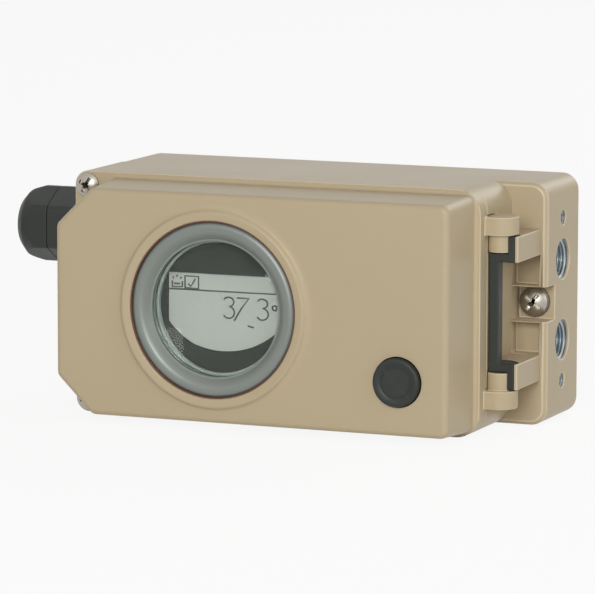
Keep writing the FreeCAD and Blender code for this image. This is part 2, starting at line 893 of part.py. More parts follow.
window_centre = (window_x, window_z)
boss = cover.sketch("XZ", cover_front + S.ring_depth)
circle(boss, window_centre, window_boss)
cover.pad(boss, S.ring_depth - S.cover_wall + S.edge_round)
collar = cover.sketch("XZ", cover_front + S.cover_wall / 2)
circle(collar, window_centre, collar_radius)
cover.pad(collar, S.collar_rise + S.cover_wall / 2)
cover.chamfer(S.collar_bevel, lambda edge: at_level(edge, "y", cover_front - S.collar_rise))
bore = cover.sketch("XZ", cover_front - S.collar_rise)
circle(bore, window_centre, window_bore)
cover.pocket(bore, S.collar_rise + S.ring_depth)
ring_seat = cover.sketch("XZ", cover_front + S.bore_depth)
circle(ring_seat, window_centre, ring_flange + S.ring_play)
cover.pocket(ring_seat, S.ring_depth - S.bore_depth)
RETAINER_ANGLES = (45, 135, 225, 315)
retainer_spots = [
    (
        window_x + retainer_screw_circle * math.cos(math.radians(angle)),
        window_z + retainer_screw_circle * math.sin(math.radians(angle)),
    )
    for angle in RETAINER_ANGLES
]
retainer_holes = cover.sketch("XZ", cover_front + S.ring_depth)
for spot in retainer_spots:
    circle(retainer_holes, spot, S.retainer_screw_radius)
retainer_cut = cover.pocket(retainer_holes, S.retainer_screw_length - S.retainer_thick)
retainer_cut.Reversed = True

knob_centre = (knob_x, knob_z)
knob_boss = cover.sketch("XZ", cover_front + S.knob_boss_depth)
circle(knob_boss, knob_centre, S.knob_boss)
cover.pad(knob_boss, S.knob_boss_depth - S.cover_wall + S.edge_round)
knob_recess = cover.sketch("XZ", cover_front)
circle(knob_recess, knob_centre, S.knob_radius + S.knob_play)
cover.pocket(knob_recess, S.knob_recess)
seal_recess = cover.sketch("XZ", cover_front)
circle(seal_recess, knob_centre, S.sleeve_radius + S.knob_seal_width)
cover.pocket(seal_recess, S.knob_recess + S.knob_seal_depth)
sleeve_bore = cover.sketch("XZ", cover_front)
circle(sleeve_bore, knob_centre, S.sleeve_radius + S.sleeve_play)
cover.pocket(sleeve_bore, S.knob_boss_depth)
key_way = cover.sketch("XZ", cover_front + S.knob_recess + S.knob_seal_depth)
rectangle(
    key_way,
    (knob_x - S.sleeve_key / 2 - S.sleeve_play, knob_x + S.sleeve_key / 2 + S.sleeve_play),
    (knob_z, knob_z + S.sleeve_radius + S.sleeve_key + S.sleeve_play),
)
cover.pocket(key_way, S.knob_boss_depth - S.knob_recess - S.knob_seal_depth)

clearance_holes = cover.sketch("XZ", flange_front)
for up in UP_AND_DOWN:
    circle(clearance_holes, (screw_x, up * screw_z), S.cover_screw_radius + S.cover_screw_play / 2)
cover.pocket(clearance_holes, S.flange_thick)
clip_seats = cover.sketch("XZ", flange_back - S.clip_thick - S.parting_gap)
for up in UP_AND_DOWN:
    circle(clip_seats, (screw_x, up * screw_z), S.clip_radius + S.ring_play)
cover.pocket(clip_seats, S.clip_thick + S.parting_gap)

for side in UP_AND_DOWN:
    ear_base = S.ear_low if side > 0 else -S.ear_high
    ear = cover.sketch("XY", ear_base)
    circle(ear, (hinge_x, hinge_y), S.ear_radius)
    cover.pad(ear, S.ear_high - S.ear_low)
    web = cover.sketch("XY", ear_base)
    rectangle(
        web, (front_right - S.cover_border_right, hinge_x), (hinge_y - S.ear_radius, flange_back)
    )
    cover.pad(web, S.ear_high - S.ear_low)
    trunnion = cover.sketch("XY", S.trunnion_low if side > 0 else -S.ear_low)
    circle(trunnion, (hinge_x, hinge_y), S.trunnion_radius)
    cover.pad(trunnion, S.ear_low - S.trunnion_low)


# Gasket: a square cord in the cover's rear land that meets the housing's front land.
def gasket_outline(grow):
    return clipped(bay_left, bay_right, bay_half, S.cover_chamfer, grow)


gasket = Body("cover_gasket")
gasket_sketch = gasket.sketch("XZ", parting - S.gasket_gap)
polygon(gasket_sketch, gasket_outline(S.gasket_outset + S.gasket_width))
polygon(gasket_sketch, gasket_outline(S.gasket_outset))
gasket.pad(gasket_sketch, S.gasket_thick)
groove = cover.sketch("XZ", flange_back)
polygon(groove, gasket_outline(S.gasket_outset + S.gasket_width))
polygon(groove, gasket_outline(S.gasket_outset))
groove_cut = cover.pocket(groove, S.gasket_thick - (S.parting_gap - S.gasket_gap))
groove_cut.Reversed = True

# Captive cover screws and the clips that hold them in the flange.
screw_parts = []
clip_parts = []


def pan_screw(centre, seat_level, head_radius, head_rise, radius, length):
    """A screw whose bevelled pan head faces the front."""
    top = seat_level - head_rise
    bevel = head_rise / 2
    profile = [
        (ZERO, top),
        (head_radius - bevel, top),
        (head_radius, top + bevel),
        (head_radius, seat_level),
        (radius, seat_level),
        (radius, seat_level + length),
        (ZERO, seat_level + length),
    ]
    return turned("y", centre, profile)


for up in UP_AND_DOWN:
    centre = (screw_x, up * screw_z)
    length = S.flange_thick + S.parting_gap + S.cover_screw_reach
    screw_sizes = (S.cover_screw_head, S.cover_screw_rise, S.cover_screw_radius, length)
    screw_parts.append(pan_screw(centre, flange_front, *screw_sizes))
    clip = rod("y", centre, (flange_back - S.clip_thick, flange_back), S.clip_radius)
    clip_bore = rod("y", centre, (flange_back - S.clip_thick, flange_back), S.cover_screw_radius)
    clip_parts.append(cut(clip, clip_bore))
node("cover_screws", group(*screw_parts))
node("screw_clips", group(*clip_parts))

# Window: a grey profile ring with the glass in its groove, held from inside by a retainer.
window_back = cover_front + S.ring_depth
ring_front = cover_front - S.ring_crest
glass_front = cover_front + S.glass_front
glass_back = glass_front + S.glass_thick
ring_outer = window_bore - S.ring_play
ring_shoulder = cover_front + S.bore_depth
eighth = math.radians(45)
ring_profile = [
    (ring_inner, window_back),
    (ring_inner, glass_back),
    (glass_radius, glass_back),
    (glass_radius, glass_front),
    (ring_inner, glass_front),
    (ring_face, ring_front),
    (ring_outer - S.ring_round, ring_front),
    (ring_outer - S.ring_round * (1 - math.sin(eighth)), ring_front + S.ring_round * (1 - math.cos(eighth))),
    (ring_outer, ring_front + S.ring_round),
    (ring_outer, ring_shoulder),
    (ring_flange, ring_shoulder),
    (ring_flange, window_back),
]
node("window_ring", turned("y", window_centre, ring_profile))
node("window_glass", rod("y", window_centre, (glass_front, glass_back), glass_radius))
retainer_back = window_back + S.retainer_thick
retainer = cut(
    rod("y", window_centre, (window_back, retainer_back), retainer_outer),
    rod("y", window_centre, (window_back, retainer_back), retainer_inner),
    *[rod("y", spot, (window_back, retainer_back), S.retainer_screw_radius) for spot in retainer_spots],
)
node("window_retainer", retainer)
retainer_screws = []
for spot in retainer_spots:
    head = rod("y", spot, (retainer_back, retainer_back + S.retainer_screw_rise), S.retainer_screw_head)
    shank = rod("y", spot, (retainer_back - S.retainer_screw_length, retainer_back), S.retainer_screw_radius)
    retainer_screws.append(join(head, shank))
node("retainer_screws", group(*retainer_screws))

# Knob: turns on a keyed sleeve, and is pressed with it against a spring.
knob_front = cover_front - S.knob_rise
knob_back = knob_front + S.knob_length
recess_floor = cover_front + S.knob_recess
seal_back = recess_floor + S.knob_seal_depth
sleeve_front = knob_back + S.sleeve_play
sleeve_back = sleeve_front + S.sleeve_length
shaft_back = cover_front + S.knob_shaft_end
knob_profile = [
    (ZERO, knob_front),
    (S.knob_radius - S.knob_bevel, knob_front),
    (S.knob_radius, knob_front + S.knob_bevel),
    (S.knob_radius, knob_back),
    (S.knob_shaft_radius, knob_back),
    (S.knob_shaft_radius, knob_front + S.knob_rise),
    (ZERO, knob_front + S.knob_rise),
]
node("knob", turned("y", knob_centre, knob_profile))
node("knob_shaft", rod("y", knob_centre, (knob_front + S.knob_rise, shaft_back), S.knob_shaft_radius))
sleeve = cut(
    join(
        rod("y", knob_centre, (sleeve_front, sleeve_back), S.sleeve_radius),
        box(
            (knob_x - S.sleeve_key / 2, knob_x + S.sleeve_key / 2),
            (seal_back + S.knob_play, sleeve_back - S.knob_travel),
            (knob_z + S.knob_shaft_radius + S.sleeve_key, knob_z + S.sleeve_radius + S.sleeve_key),
        ),
    ),
    rod("y", knob_centre, (sleeve_front, sleeve_back), S.knob_shaft_radius + S.sleeve_play),
)
node("knob_sleeve", sleeve)
clip_front = sleeve_back + S.sleeve_play
node(
    "knob_clip",
    cut(
        rod("y", knob_centre, (clip_front, clip_front + S.knob_clip_thick), S.knob_clip_radius),
        rod("y", knob_centre, (clip_front, clip_front + S.knob_clip_thick), S.knob_shaft_radius),
    ),
)
node("knob_magnet", rod("y", knob_centre, (shaft_back, shaft_back + S.magnet_thick), S.magnet_radius))
spring_span = (knob_back + S.sleeve_play, recess_floor)
node(
    "knob_spring",
    cut(
        rod("y", knob_centre, spring_span, S.knob_spring_radius),
        rod("y", knob_centre, spring_span, S.knob_spring_radius - S.knob_spring_width),
    ),
)
node(
    "knob_seal",
    cut(
        rod("y", knob_centre, (recess_floor, seal_back), S.sleeve_radius + S.knob_seal_width),
        rod("y", knob_centre, (recess_floor, seal_back), S.sleeve_radius + S.sleeve_play),
    ),
)

# Hinge strip: two open jaws joined by a spine, in the seats of the housing's arms.
strip_left = front_right + S.jaw_inset
jaw_front = hinge_y - S.jaw_front
hinge_centre = (hinge_x, hinge_y)
jaws = []
bores = []
for side in UP_AND_DOWN:
    low, high = (S.jaw_low, S.jaw_high) if side > 0 else (-S.jaw_high, -S.jaw_low)
    jaws.append(rod("z", hinge_centre, (low, high), S.jaw_radius))
    low, high = (S.jaw_floor, S.jaw_high) if side > 0 else (-S.jaw_high, -S.jaw_floor)
    bores.append(rod("z", hinge_centre, (low, high), S.trunnion_radius + S.trunnion_play))
spine = box(
    (strip_left, strip_left + S.spine_width),
    (jaw_front, jaw_front + S.spine_thick),
    (-S.jaw_floor, S.jaw_floor),
)
strip_room = box(
    (strip_left, hinge_x + S.jaw_radius * 2),
    (jaw_front, hinge_y + S.jaw_radius * 2),
    (-S.jaw_high, S.jaw_high),
)
node("hinge_strip", cut(common(join(*jaws, spine), strip_room), *bores))


# Ground screws, one in the notch between the hinge arms and one in the wiring space.
ground_centre = (ground_x, ZERO)
washer_front = ground_floor - S.ground_washer_thick
node(
    "ground_screw",
    pan_screw(
        ground_centre,
        washer_front,
        S.ground_head,
        S.ground_rise,
        S.ground_screw_radius,
        S.ground_screw_length + S.ground_washer_thick,
    ),
)
node(
    "ground_washer",
    cut(
        rod("y", ground_centre, (washer_front, ground_floor), S.ground_washer_radius),
        rod("y", ground_centre, (washer_front, ground_floor), S.ground_screw_radius),
    ),
)
inner_seat = -(S.rear_wall + S.inner_ground_boss_rise)
node(
    "inner_ground_screw",
    pan_screw(
        inner_ground,
        inner_seat,
        S.inner_ground_head,
        S.ground_rise,
        S.inner_ground_radius,
        S.inner_ground_boss_rise - S.edge_round,
    ),
)

# Cable gland: threaded body, sealing washer, compression cap and rubber seal.
gland_axis = (-S.gland_back, S.gland_height)
gland_seat = block_left - S.conduit_boss_length
gland_collar = gland_seat - S.gland_gasket_thick
gland_face = gland_collar - S.gland_hex_length
gland_end = gland_face - S.gland_cap_length
neck_end = gland_face - S.gland_neck_length
gland_corner = S.gland_flats / math.sqrt(3)
gland_hex = common(
    hexagon("x", gland_axis, (gland_face, gland_collar), S.gland_flats),
    rod("x", gland_axis, (gland_face, gland_collar), gland_corner - S.edge_round / 2),
)
gland_body = cut(
    join(
        gland_hex,
        rod("x", gland_axis, (gland_collar, gland_seat + S.gland_thread_length), S.gland_thread),
        rod("x", gland_axis, (neck_end, gland_face), S.gland_neck),
    ),
    rod("x", gland_axis, (neck_end, gland_seat + S.gland_thread_length), S.gland_seal_radius),
)
node("gland_body", gland_body)
node(
    "gland_gasket",
    cut(
        rod("x", gland_axis, (gland_collar, gland_seat), gland_corner - S.edge_round),
        rod("x", gland_axis, (gland_collar, gland_seat), S.gland_thread),
    ),
)
cap_radius = gland_corner - S.edge_round / 2
cap_profile = [
    (S.gland_cap_bore, gland_end),
    (S.gland_mouth, gland_end),
    (S.gland_brow, gland_end + S.gland_lip),
    (cap_radius, gland_end + S.gland_dome),
    (cap_radius, gland_face),
    (S.gland_neck, gland_face),
    (S.gland_neck, neck_end),
    (S.gland_cap_bore, neck_end),
]
cap_hex = hexagon("x", gland_axis, (gland_end, gland_face), S.gland_flats)
node("gland_cap", common(cap_hex, turned("x", gland_axis, cap_profile)))
seal_end = gland_end + S.gland_lip
node(
    "gland_seal",
    cut(
        join(
            rod("x", gland_axis, (seal_end, neck_end), S.gland_cap_bore),
            rod("x", gland_axis, (neck_end, gland_face), S.gland_seal_radius),
        ),
        rod("x", gland_axis, (seal_end, gland_face), S.cable_radius),
    ),
)

# Vent at the back: a sintered filter held by a slotted plug ring.
vent_floor = -S.vent_depth
node(
    "vent_plug",
    cut(
        rod("y", vent, (vent_floor, -S.edge_round / 2), S.vent_radius),
        rod("y", vent, (vent_floor, -S.edge_round / 2), S.vent_bore),
        rod("y", vent, (vent_floor, vent_floor / 2), S.vent_filter_radius),
    ),
)
node("vent_filter", rod("y", vent, (vent_floor, vent_floor / 2), S.vent_filter_radius))

# Feedback shaft in its bush and seal, with the sector gear inside and the lever at the back.
axis = (ZERO, ZERO)
bush_front = -(S.rear_wall + S.shaft_boss_rise)
gear_back = bush_front - S.gear_gap
gear_front = gear_back - S.gear_thick
clip_level = gear_front - S.gear_clip_thick
node(
    "shaft_bush",
    cut(
        rod("y", axis, (bush_front, bush_front + S.bush_length), S.bush_radius),
        rod("y", axis, (bush_front, bush_front + S.bush_length), S.shaft_radius + S.bush_play),
    ),
)
node(
    "shaft_seal",
    cut(
        rod("y", axis, (-S.shaft_seal_depth, ZERO), S.shaft_seal_radius),
        rod("y", axis, (-S.shaft_seal_depth, ZERO), S.shaft_radius + S.bush_play),
    ),
)
shoulder_back = S.lever_offset
node(
    "feedback_shaft",
    join(
        rod("y", axis, (clip_level, S.shaft_out), S.shaft_radius),
        rod("y", axis, (S.shoulder_gap, shoulder_back), S.shoulder_radius),
    ),
)
node(
    "gear_clip",
    cut(
        rod("y", axis, (clip_level, gear_front), S.gear_clip_radius),
        rod("y", axis, (clip_level, gear_front), S.shaft_radius),
    ),
)


def involute(angle):
    return math.tan(angle) - angle


def gear_points(teeth, first_tooth_deg):
    """Points of a spur gear's outline, with involute flanks, about the origin."""
    pressure = math.radians(20)
    pitch = float(S.gear_module) * teeth / 2
    base = pitch * math.cos(pressure)
    tip = pitch + float(S.gear_module * S.tooth_tip)
    root = pitch - float(S.gear_module * S.tooth_root)
    half_at_pitch = math.pi / (2 * teeth) - float(S.gear_backlash) / (2 * pitch)

    def half_angle(radius):
        at_radius = math.acos(min(1.0, base / radius))
        return half_at_pitch + involute(pressure) - involute(at_radius)

    flank = [max(base, root), (max(base, root) + pitch) / 2, pitch, (pitch + tip) / 2, tip]
    points = []
    for tooth in range(teeth):
        middle = math.radians(first_tooth_deg + 360 * tooth / teeth)
        rising = [(radius, middle - half_angle(radius)) for radius in flank]
        falling = [(radius, middle + half_angle(radius)) for radius in reversed(flank)]
        foot = half_angle(flank[0])
        points.append((root, middle - foot))
        points.extend(rising + falling)
        points.append((root, middle + foot))
    return [Vector(radius * math.cos(angle), 0, radius * math.sin(angle)) for radius, angle in points]


def extruded(points, level, thickness):
    outline = Part.makePolygon(points + [points[0]])
    solid = Part.Face(outline).extrude(Vector(0, float(thickness), 0))
    solid.translate(Vector(0, float(level), 0))
    return solid


teeth_in_gear = round(float(S.gear_teeth))
teeth_in_pinion = round(float(S.pinion_teeth))
centre_distance = S.gear_module * (S.gear_teeth + S.pinion_teeth) / 2
gear_face_width = float(gear_front) - float(gear_back)
full_gear = extruded(gear_points(teeth_in_gear, 180), gear_back, gear_face_width)
wedge_reach = float(centre_distance)
wedge_rise = wedge_reach * math.tan(math.radians(float(S.gear_reach_deg)))
wedge = extruded(
    [Vector(0, 0, 0), Vector(-wedge_reach, 0, wedge_rise), Vector(-wedge_reach, 0, -wedge_rise)],
    gear_back,
    gear_face_width,
)
hub = Part.makeCylinder(float(S.gear_hub), -gear_face_width, Vector(0, float(gear_front), 0), Vector(0, 1, 0))
gear_bore = Part.makeCylinder(
    float(S.shaft_radius), -gear_face_width, Vector(0, float(gear_front), 0), Vector(0, 1, 0)
)
sector = doc.addObject("Part::Feature", "sector_gear")
sector.Shape = full_gear.common(wedge).fuse(hub).removeSplitter().cut(gear_bore)
nodes.append(sector)

# Sensor pinion on its own spindle, in the position sensor that hangs from the mounting plate.
sensor_x = -centre_distance
sensor_centre = (sensor_x, ZERO)
sensor_back = gear_front - S.gear_clip_thick - S.sensor_gap
spindle_front = sensor_back - S.sensor_shaft_in
pinion = extruded(gear_points(teeth_in_pinion, 180 / teeth_in_pinion), ZERO, gear_face_width)
spindle = Part.makeCylinder(
    float(S.sensor_shaft),
    float(gear_back - spindle_front),
    Vector(0, float(spindle_front - gear_back), 0),
    Vector(0, 1, 0),
)
sensor_pinion = doc.addObject("Part::Feature", "sensor_pinion")
sensor_pinion.Shape = pinion.fuse(spindle).removeSplitter()
place(sensor_pinion, sensor_x, gear_back, ZERO)
nodes.append(sensor_pinion)
spindle_hole = (spindle_front - S.sensor_gap, sensor_back)
node(
    "position_sensor",
    cut(
        rod("y", sensor_centre, (plate_back, sensor_back), S.sensor_radius),
        rod("y", sensor_centre, spindle_hole, S.sensor_shaft + S.sensor_shaft_play),
    ),
)

# Feedback lever: flat bar on the shaft's shoulder, clamped by a nut, with a slotted end and follower pin.
lever_front = S.lever_offset
lever_back = lever_front + S.lever_thick
lever_half = S.lever_width / 2
lever_tip = -(S.lever_end - lever_half)
lever_bar = join(
    rod("y", axis, (lever_front, lever_back), lever_half + S.edge_round),
    box((lever_tip, ZERO), (lever_front, lever_back), (-lever_half, lever_half)),
    rod("y", (lever_tip, ZERO), (lever_front, lever_back), lever_half),
)
slot_ends = (-(S.lever_pin_radius_at), -S.lever_slot_near)
lever = cut(
    lever_bar,
    rod("y", axis, (lever_front, lever_back), S.shaft_radius),
    box(slot_ends, (lever_front, lever_back), (-S.lever_slot, S.lever_slot)),
    *[rod("y", (end, ZERO), (lever_front, lever_back), S.lever_slot) for end in slot_ends],
)
node("feedback_lever", lever)
washer_back = lever_back + S.lever_washer_thick
nut_back = washer_back + S.lever_nut_thick
node(
    "lever_washer",
    cut(
        rod("y", axis, (lever_back, washer_back), S.lever_washer_radius),
        rod("y", axis, (lever_back, washer_back), S.shaft_radius),
    ),
)
node(
    "lever_nut",
    cut(
        hexagon("y", axis, (washer_back, nut_back), S.lever_nut_flats),
        rod("y", axis, (washer_back, nut_back), S.shaft_radius),
    ),
)
pin_centre = (-S.lever_pin_radius_at, ZERO)
node(
    "follower_pin",
    join(
        rod("y", pin_centre, (lever_front, lever_back + S.pin_length), S.pin_radius),
        rod("y", pin_centre, (lever_back, lever_back + S.pin_collar_thick), S.pin_collar),
        rod("y", pin_centre, (lever_front - S.pin_collar_thick, lever_front), S.pin_collar),
    ),
)

# Mounting plate on the housing's posts, cut away at the upper left for the wires.
plate = Body("mounting_plate")
plate_outline = plate.sketch("XZ", plate_back)
polygon(
    plate_outline,
    [
        (plate_left, -(plate_half - S.plate_clip)),
        (plate_left + S.plate_clip, -plate_half),
        (plate_right, -plate_half),
        (plate_right, plate_half),
        (plate_cut, plate_half),
        (plate_cut, -S.plate_cut_drop),
        (plate_left, -S.plate_cut_drop),
    ],
)
plate.pad(plate_outline, S.plate_thick)
plate_holes = plate.sketch("XZ", plate_front)
for spot in POSTS:
    circle(plate_holes, spot, S.plate_screw_radius)
plate.pocket(plate_holes, S.plate_thick)
node(
    "plate_screws",
    group(
        *[
            pan_screw(
                spot,
                plate_front,
                S.plate_screw_head,
                S.plate_screw_rise,
                S.plate_screw_radius,
                S.plate_screw_length,
            )
            for spot in POSTS
        ]
    ),
)

# Electronics module on its board and insulating sheet, with the display tower in front.
board_back = plate_front - S.sheet_thick
board_front = board_back - S.board_thick
module_front = board_front - S.module_height
module_span_x = (window_x - S.module_left, option_right - S.option_width - S.module_option_gap)
module_span_z = (-module_half, module_half)
module_spots = [
    (x, up * (module_half - S.module_screw_inset))
    for x in (module_span_x[0] + S.module_screw_inset, module_span_x[1] - S.module_screw_inset)
    for up in UP_AND_DOWN
]

node("insulator_sheet", box(module_span_x, (board_back, plate_front), module_span_z))
node("main_board", box(module_span_x, (board_front, board_back), module_span_z))
button_x = module_span_x[1] - S.button_from_module_right
button_z = module_half - S.button_from_top
button_centre = (button_x, button_z)
button_floor = module_front + S.button_seat
switch_x = (button_x - S.switch_width / 2, button_x + S.switch_width / 2)
switch_z = (-S.switch_low, -S.switch_low + S.switch_length)
module_case = rounded(
    box(module_span_x, (module_front, board_front), module_span_z),
    S.module_edge,
    lambda edge: parallel(edge, "y"),
)
module = cut(
    module_case,
    rod(
        "y",
        button_centre,
        (module_front, button_floor + S.button_travel + S.button_play),
        S.button_radius + S.button_play,
    ),
    box(
        (switch_x[0] - S.button_play, switch_x[1] + S.button_play),
        (module_front, module_front + S.switch_seat + S.button_play),
        (switch_z[0] - S.button_play, switch_z[1] + S.switch_travel + S.button_play),
    ),
    *[
        rod("y", spot, (module_front, module_front + S.module_screw_length), S.module_screw_radius)
        for spot in module_spots
    ],
)
node("electronics_module", module)
node(
    "module_screws",
    group(
        *[
            pan_screw(
                spot,
                module_front,
                S.module_screw_head,
                S.module_screw_rise,
                S.module_screw_radius,
                S.module_screw_length,
            )
            for spot in module_spots
        ]
    ),
)
node("init_button", rod("y", button_centre, (module_front - S.button_rise, button_floor), S.button_radius))
node("switch_slider", box(switch_x, (module_front - S.switch_rise, module_front + S.switch_seat), switch_z))

# Display: a round bezel whose opening has a straight top and sides and an arched foot.
bezel_front = cover_front + S.bezel_front
lcd_front = bezel_front + S.lcd_recess
lcd_back = lcd_front + S.lcd_thick
arc_centre = (window_x, window_z - S.lcd_bottom + S.lcd_arc)
opening_x = (window_x - S.lcd_left, window_x + S.lcd_right)
opening_z = (window_z - S.lcd_bottom - S.lcd_margin, window_z + S.lcd_top)
opening = common(
    box(opening_x, (bezel_front, lcd_front), opening_z),
    rod("y", arc_centre, (bezel_front, lcd_front), S.lcd_arc),
)


def lcd_shape():
    """The panel's outline, a margin wider than the opening but inside the bezel's rim."""
    return common(
        box(
            (opening_x[0] - S.lcd_margin, opening_x[1] + S.lcd_margin),
            (lcd_front, lcd_back),
            (opening_z[0], opening_z[1] + S.lcd_margin),
        ),
        rod("y", window_centre, (lcd_front, lcd_back), ring_inner - S.lcd_recess),
    )


node(
    "display_bezel",
    cut(rod("y", window_centre, (bezel_front, module_front), ring_inner), opening, lcd_shape()),
)
node("lcd_panel", lcd_shape())

# Terminal block in the wiring space: wires enter from the left, screws face the front.
terminal_front = plate_front - S.terminal_height
ways = round(float(S.terminal_ways))
way_pitch = -(terminal_bottom + S.terminal_top) / S.terminal_ways
way_heights = [terminal_bottom + way_pitch * (index + 0.5) for index in range(ways)]
terminal_middle = (terminal_left + terminal_right) / 2
entry_y = (plate_front + terminal_front) / 2
terminal_screw_spots = [(terminal_middle, height) for height in way_heights]
entry_span = (terminal_left, terminal_middle)
node(
    "terminal_block",
    cut(
        box(
            (terminal_left, terminal_right),
            (terminal_front, plate_front),
            (terminal_bottom, -S.terminal_top),
        ),
        *[rod("x", (entry_y, height), entry_span, S.terminal_entry) for height in way_heights],
        *[
            rod("y", spot, (terminal_front, terminal_front + S.terminal_screw_depth), S.terminal_screw_radius)
            for spot in terminal_screw_spots
        ],
    ),
)
node(
    "terminal_screws",
    group(
        *[
            rod(
                "y",
                spot,
                (terminal_front + S.terminal_screw_depth / 3, terminal_front + S.terminal_screw_depth),
                S.terminal_screw_radius,
            )
            for spot in terminal_screw_spots
        ]
    ),
)
node(
    "option_module",
    rounded(
        box(
            (option_right - S.option_width, option_right),
            (plate_front - S.option_height, plate_front),
            (S.option_bottom, (post_half - S.option_from_post)),
        ),
        S.edge_round,
        lambda edge: parallel(edge, "y"),
    ),
)

# Knob sensor: a chip on a small board that stands on two posts behind the knob's magnet.
chip_front = shaft_back + S.magnet_thick + S.knob_travel + S.magnet_gap
chip_back = chip_front + S.sensor_chip_thick
sensor_board_back = chip_back + S.board_thick
board_x = (knob_x - S.sensor_board_left, knob_x + S.sensor_board_right)
board_z = (knob_z - S.sensor_board_bottom, knob_z + S.sensor_board_top)
node(
    "knob_sensor",
    box(
        (knob_x - S.sensor_chip, knob_x + S.sensor_chip),
        (chip_front, chip_back),
        (knob_z - S.sensor_chip, knob_z + S.sensor_chip),
    ),
)
node("sensor_board", box(board_x, (chip_back, sensor_board_back), board_z))
post_spots = [
    (board_x[0] + S.sensor_post_inset, board_z[0] + S.sensor_post_inset),
    (board_x[1] - S.sensor_post_inset, board_z[1] - S.sensor_post_inset),
]
node(
    "sensor_posts",
    group(*[rod("y", spot, (sensor_board_back, plate_front), S.sensor_post_radius) for spot in post_spots]),
)

# Pneumatics on the back of the mounting plate: converter, regulator and booster with its port seals.
ip_high = well_half - S.ip_gap
for label, side in (("ip_converter", 1), ("pressure_regulator", -1)):
    height = (S.ip_low, ip_high) if side > 0 else (-ip_high, -S.ip_low)
    block = box((POST_LINES[1] + S.ip_from_post, -S.ip_right), (plate_back, plate_back + S.ip_depth), height)
    node(label, rounded(block, S.edge_round, lambda edge: parallel(edge, "y")))
booster_right = well_right - S.booster_gap
node(
    "booster",
    rounded(
        box(
            (booster_right - S.booster_width, booster_right),
            (plate_back, -S.booster_back),
            (-S.booster_half_height, S.booster_half_height),
        ),
        S.edge_round,
        lambda edge: parallel(edge, "x"),
    ),
)
node(
    "port_seals",
    group(
        *[
            cut(
                rod("x", (port_y, centre), (booster_right, well_right), S.port_duct + S.port_seal_width),
                rod("x", (port_y, centre), (booster_right, well_right), S.port_duct),
            )
            for centre in (S.port_pitch / 2, -S.port_pitch / 2)
        ]
    ),
)

# Check every object, then write one file for each sub-part.
doc.recompute()
faults = [item.Label for item in doc.Objects if "Invalid" in item.State or "Error" in item.State]
for item in nodes:
    if item.Shape.isNull() or not item.Shape.isValid():
        faults.append(f"{item.Label} shape")
if faults:
    raise RuntimeError("failed: " + ", ".join(faults))
os.makedirs("parts", exist_ok=True)
for item in nodes:
    item.Shape.exportStep(os.path.join("parts", item.Label + ".step"))
print(len(nodes), "sub-parts written")
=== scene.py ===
# Looks of the electro-pneumatic valve positioner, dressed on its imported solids.
# Metres. X runs to the port side, Y from the front to the mounting face, Z up.
import json
import math

import bmesh
import bpy
from mathutils import Matrix, Vector

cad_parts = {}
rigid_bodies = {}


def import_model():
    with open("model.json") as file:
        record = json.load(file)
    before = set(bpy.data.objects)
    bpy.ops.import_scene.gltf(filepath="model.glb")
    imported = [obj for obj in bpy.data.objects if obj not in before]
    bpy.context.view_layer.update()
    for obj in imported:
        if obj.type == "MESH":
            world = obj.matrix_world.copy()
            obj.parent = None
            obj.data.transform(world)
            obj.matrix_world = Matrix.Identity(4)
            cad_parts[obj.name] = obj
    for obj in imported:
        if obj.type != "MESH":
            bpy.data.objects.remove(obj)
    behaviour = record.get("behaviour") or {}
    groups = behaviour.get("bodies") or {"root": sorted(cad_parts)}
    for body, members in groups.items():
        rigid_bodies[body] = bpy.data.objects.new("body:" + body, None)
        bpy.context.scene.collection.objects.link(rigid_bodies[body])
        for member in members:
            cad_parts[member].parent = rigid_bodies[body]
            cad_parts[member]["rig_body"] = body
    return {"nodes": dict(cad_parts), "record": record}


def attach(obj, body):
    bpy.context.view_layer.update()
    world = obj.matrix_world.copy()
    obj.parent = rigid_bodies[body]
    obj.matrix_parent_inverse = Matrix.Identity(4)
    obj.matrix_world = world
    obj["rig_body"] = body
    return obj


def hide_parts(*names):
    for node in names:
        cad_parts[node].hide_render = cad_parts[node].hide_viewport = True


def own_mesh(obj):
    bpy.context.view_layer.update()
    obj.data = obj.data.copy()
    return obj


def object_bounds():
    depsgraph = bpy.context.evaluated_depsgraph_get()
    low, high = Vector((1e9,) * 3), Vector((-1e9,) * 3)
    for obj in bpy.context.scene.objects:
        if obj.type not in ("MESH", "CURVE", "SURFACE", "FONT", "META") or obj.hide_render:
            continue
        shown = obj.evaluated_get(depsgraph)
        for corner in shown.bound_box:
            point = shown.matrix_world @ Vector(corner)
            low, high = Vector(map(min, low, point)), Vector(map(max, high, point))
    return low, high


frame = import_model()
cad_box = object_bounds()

MM = 0.001
nodes = frame["nodes"]

# Camera: where the photograph was taken from, a long lens a little to the right and above.
target = Vector((0.01137, -0.0807, 0.00558))
turned, raised, rolled = math.radians(22.45), math.radians(8.14), math.radians(0.11)
distance, focal_length = 1.45341, 278.69
back = Vector((math.sin(turned) * math.cos(raised), -math.cos(turned) * math.cos(raised), math.sin(raised)))
right = Vector((math.cos(turned), math.sin(turned), 0))
view = Matrix((right, back.cross(right), back)).transposed().to_4x4()
camera_data = bpy.data.cameras.new("camera")
camera_data.lens, camera_data.sensor_width, camera_data.clip_end = focal_length, 36, 20
camera = bpy.data.objects.new("camera", camera_data)
camera.matrix_world = Matrix.Translation(target + back * distance) @ view @ Matrix.Rotation(rolled, 4, "Z")
bpy.context.scene.collection.objects.link(camera)
bpy.context.scene.camera = camera
bpy.context.scene.view_settings.view_transform = "Standard"

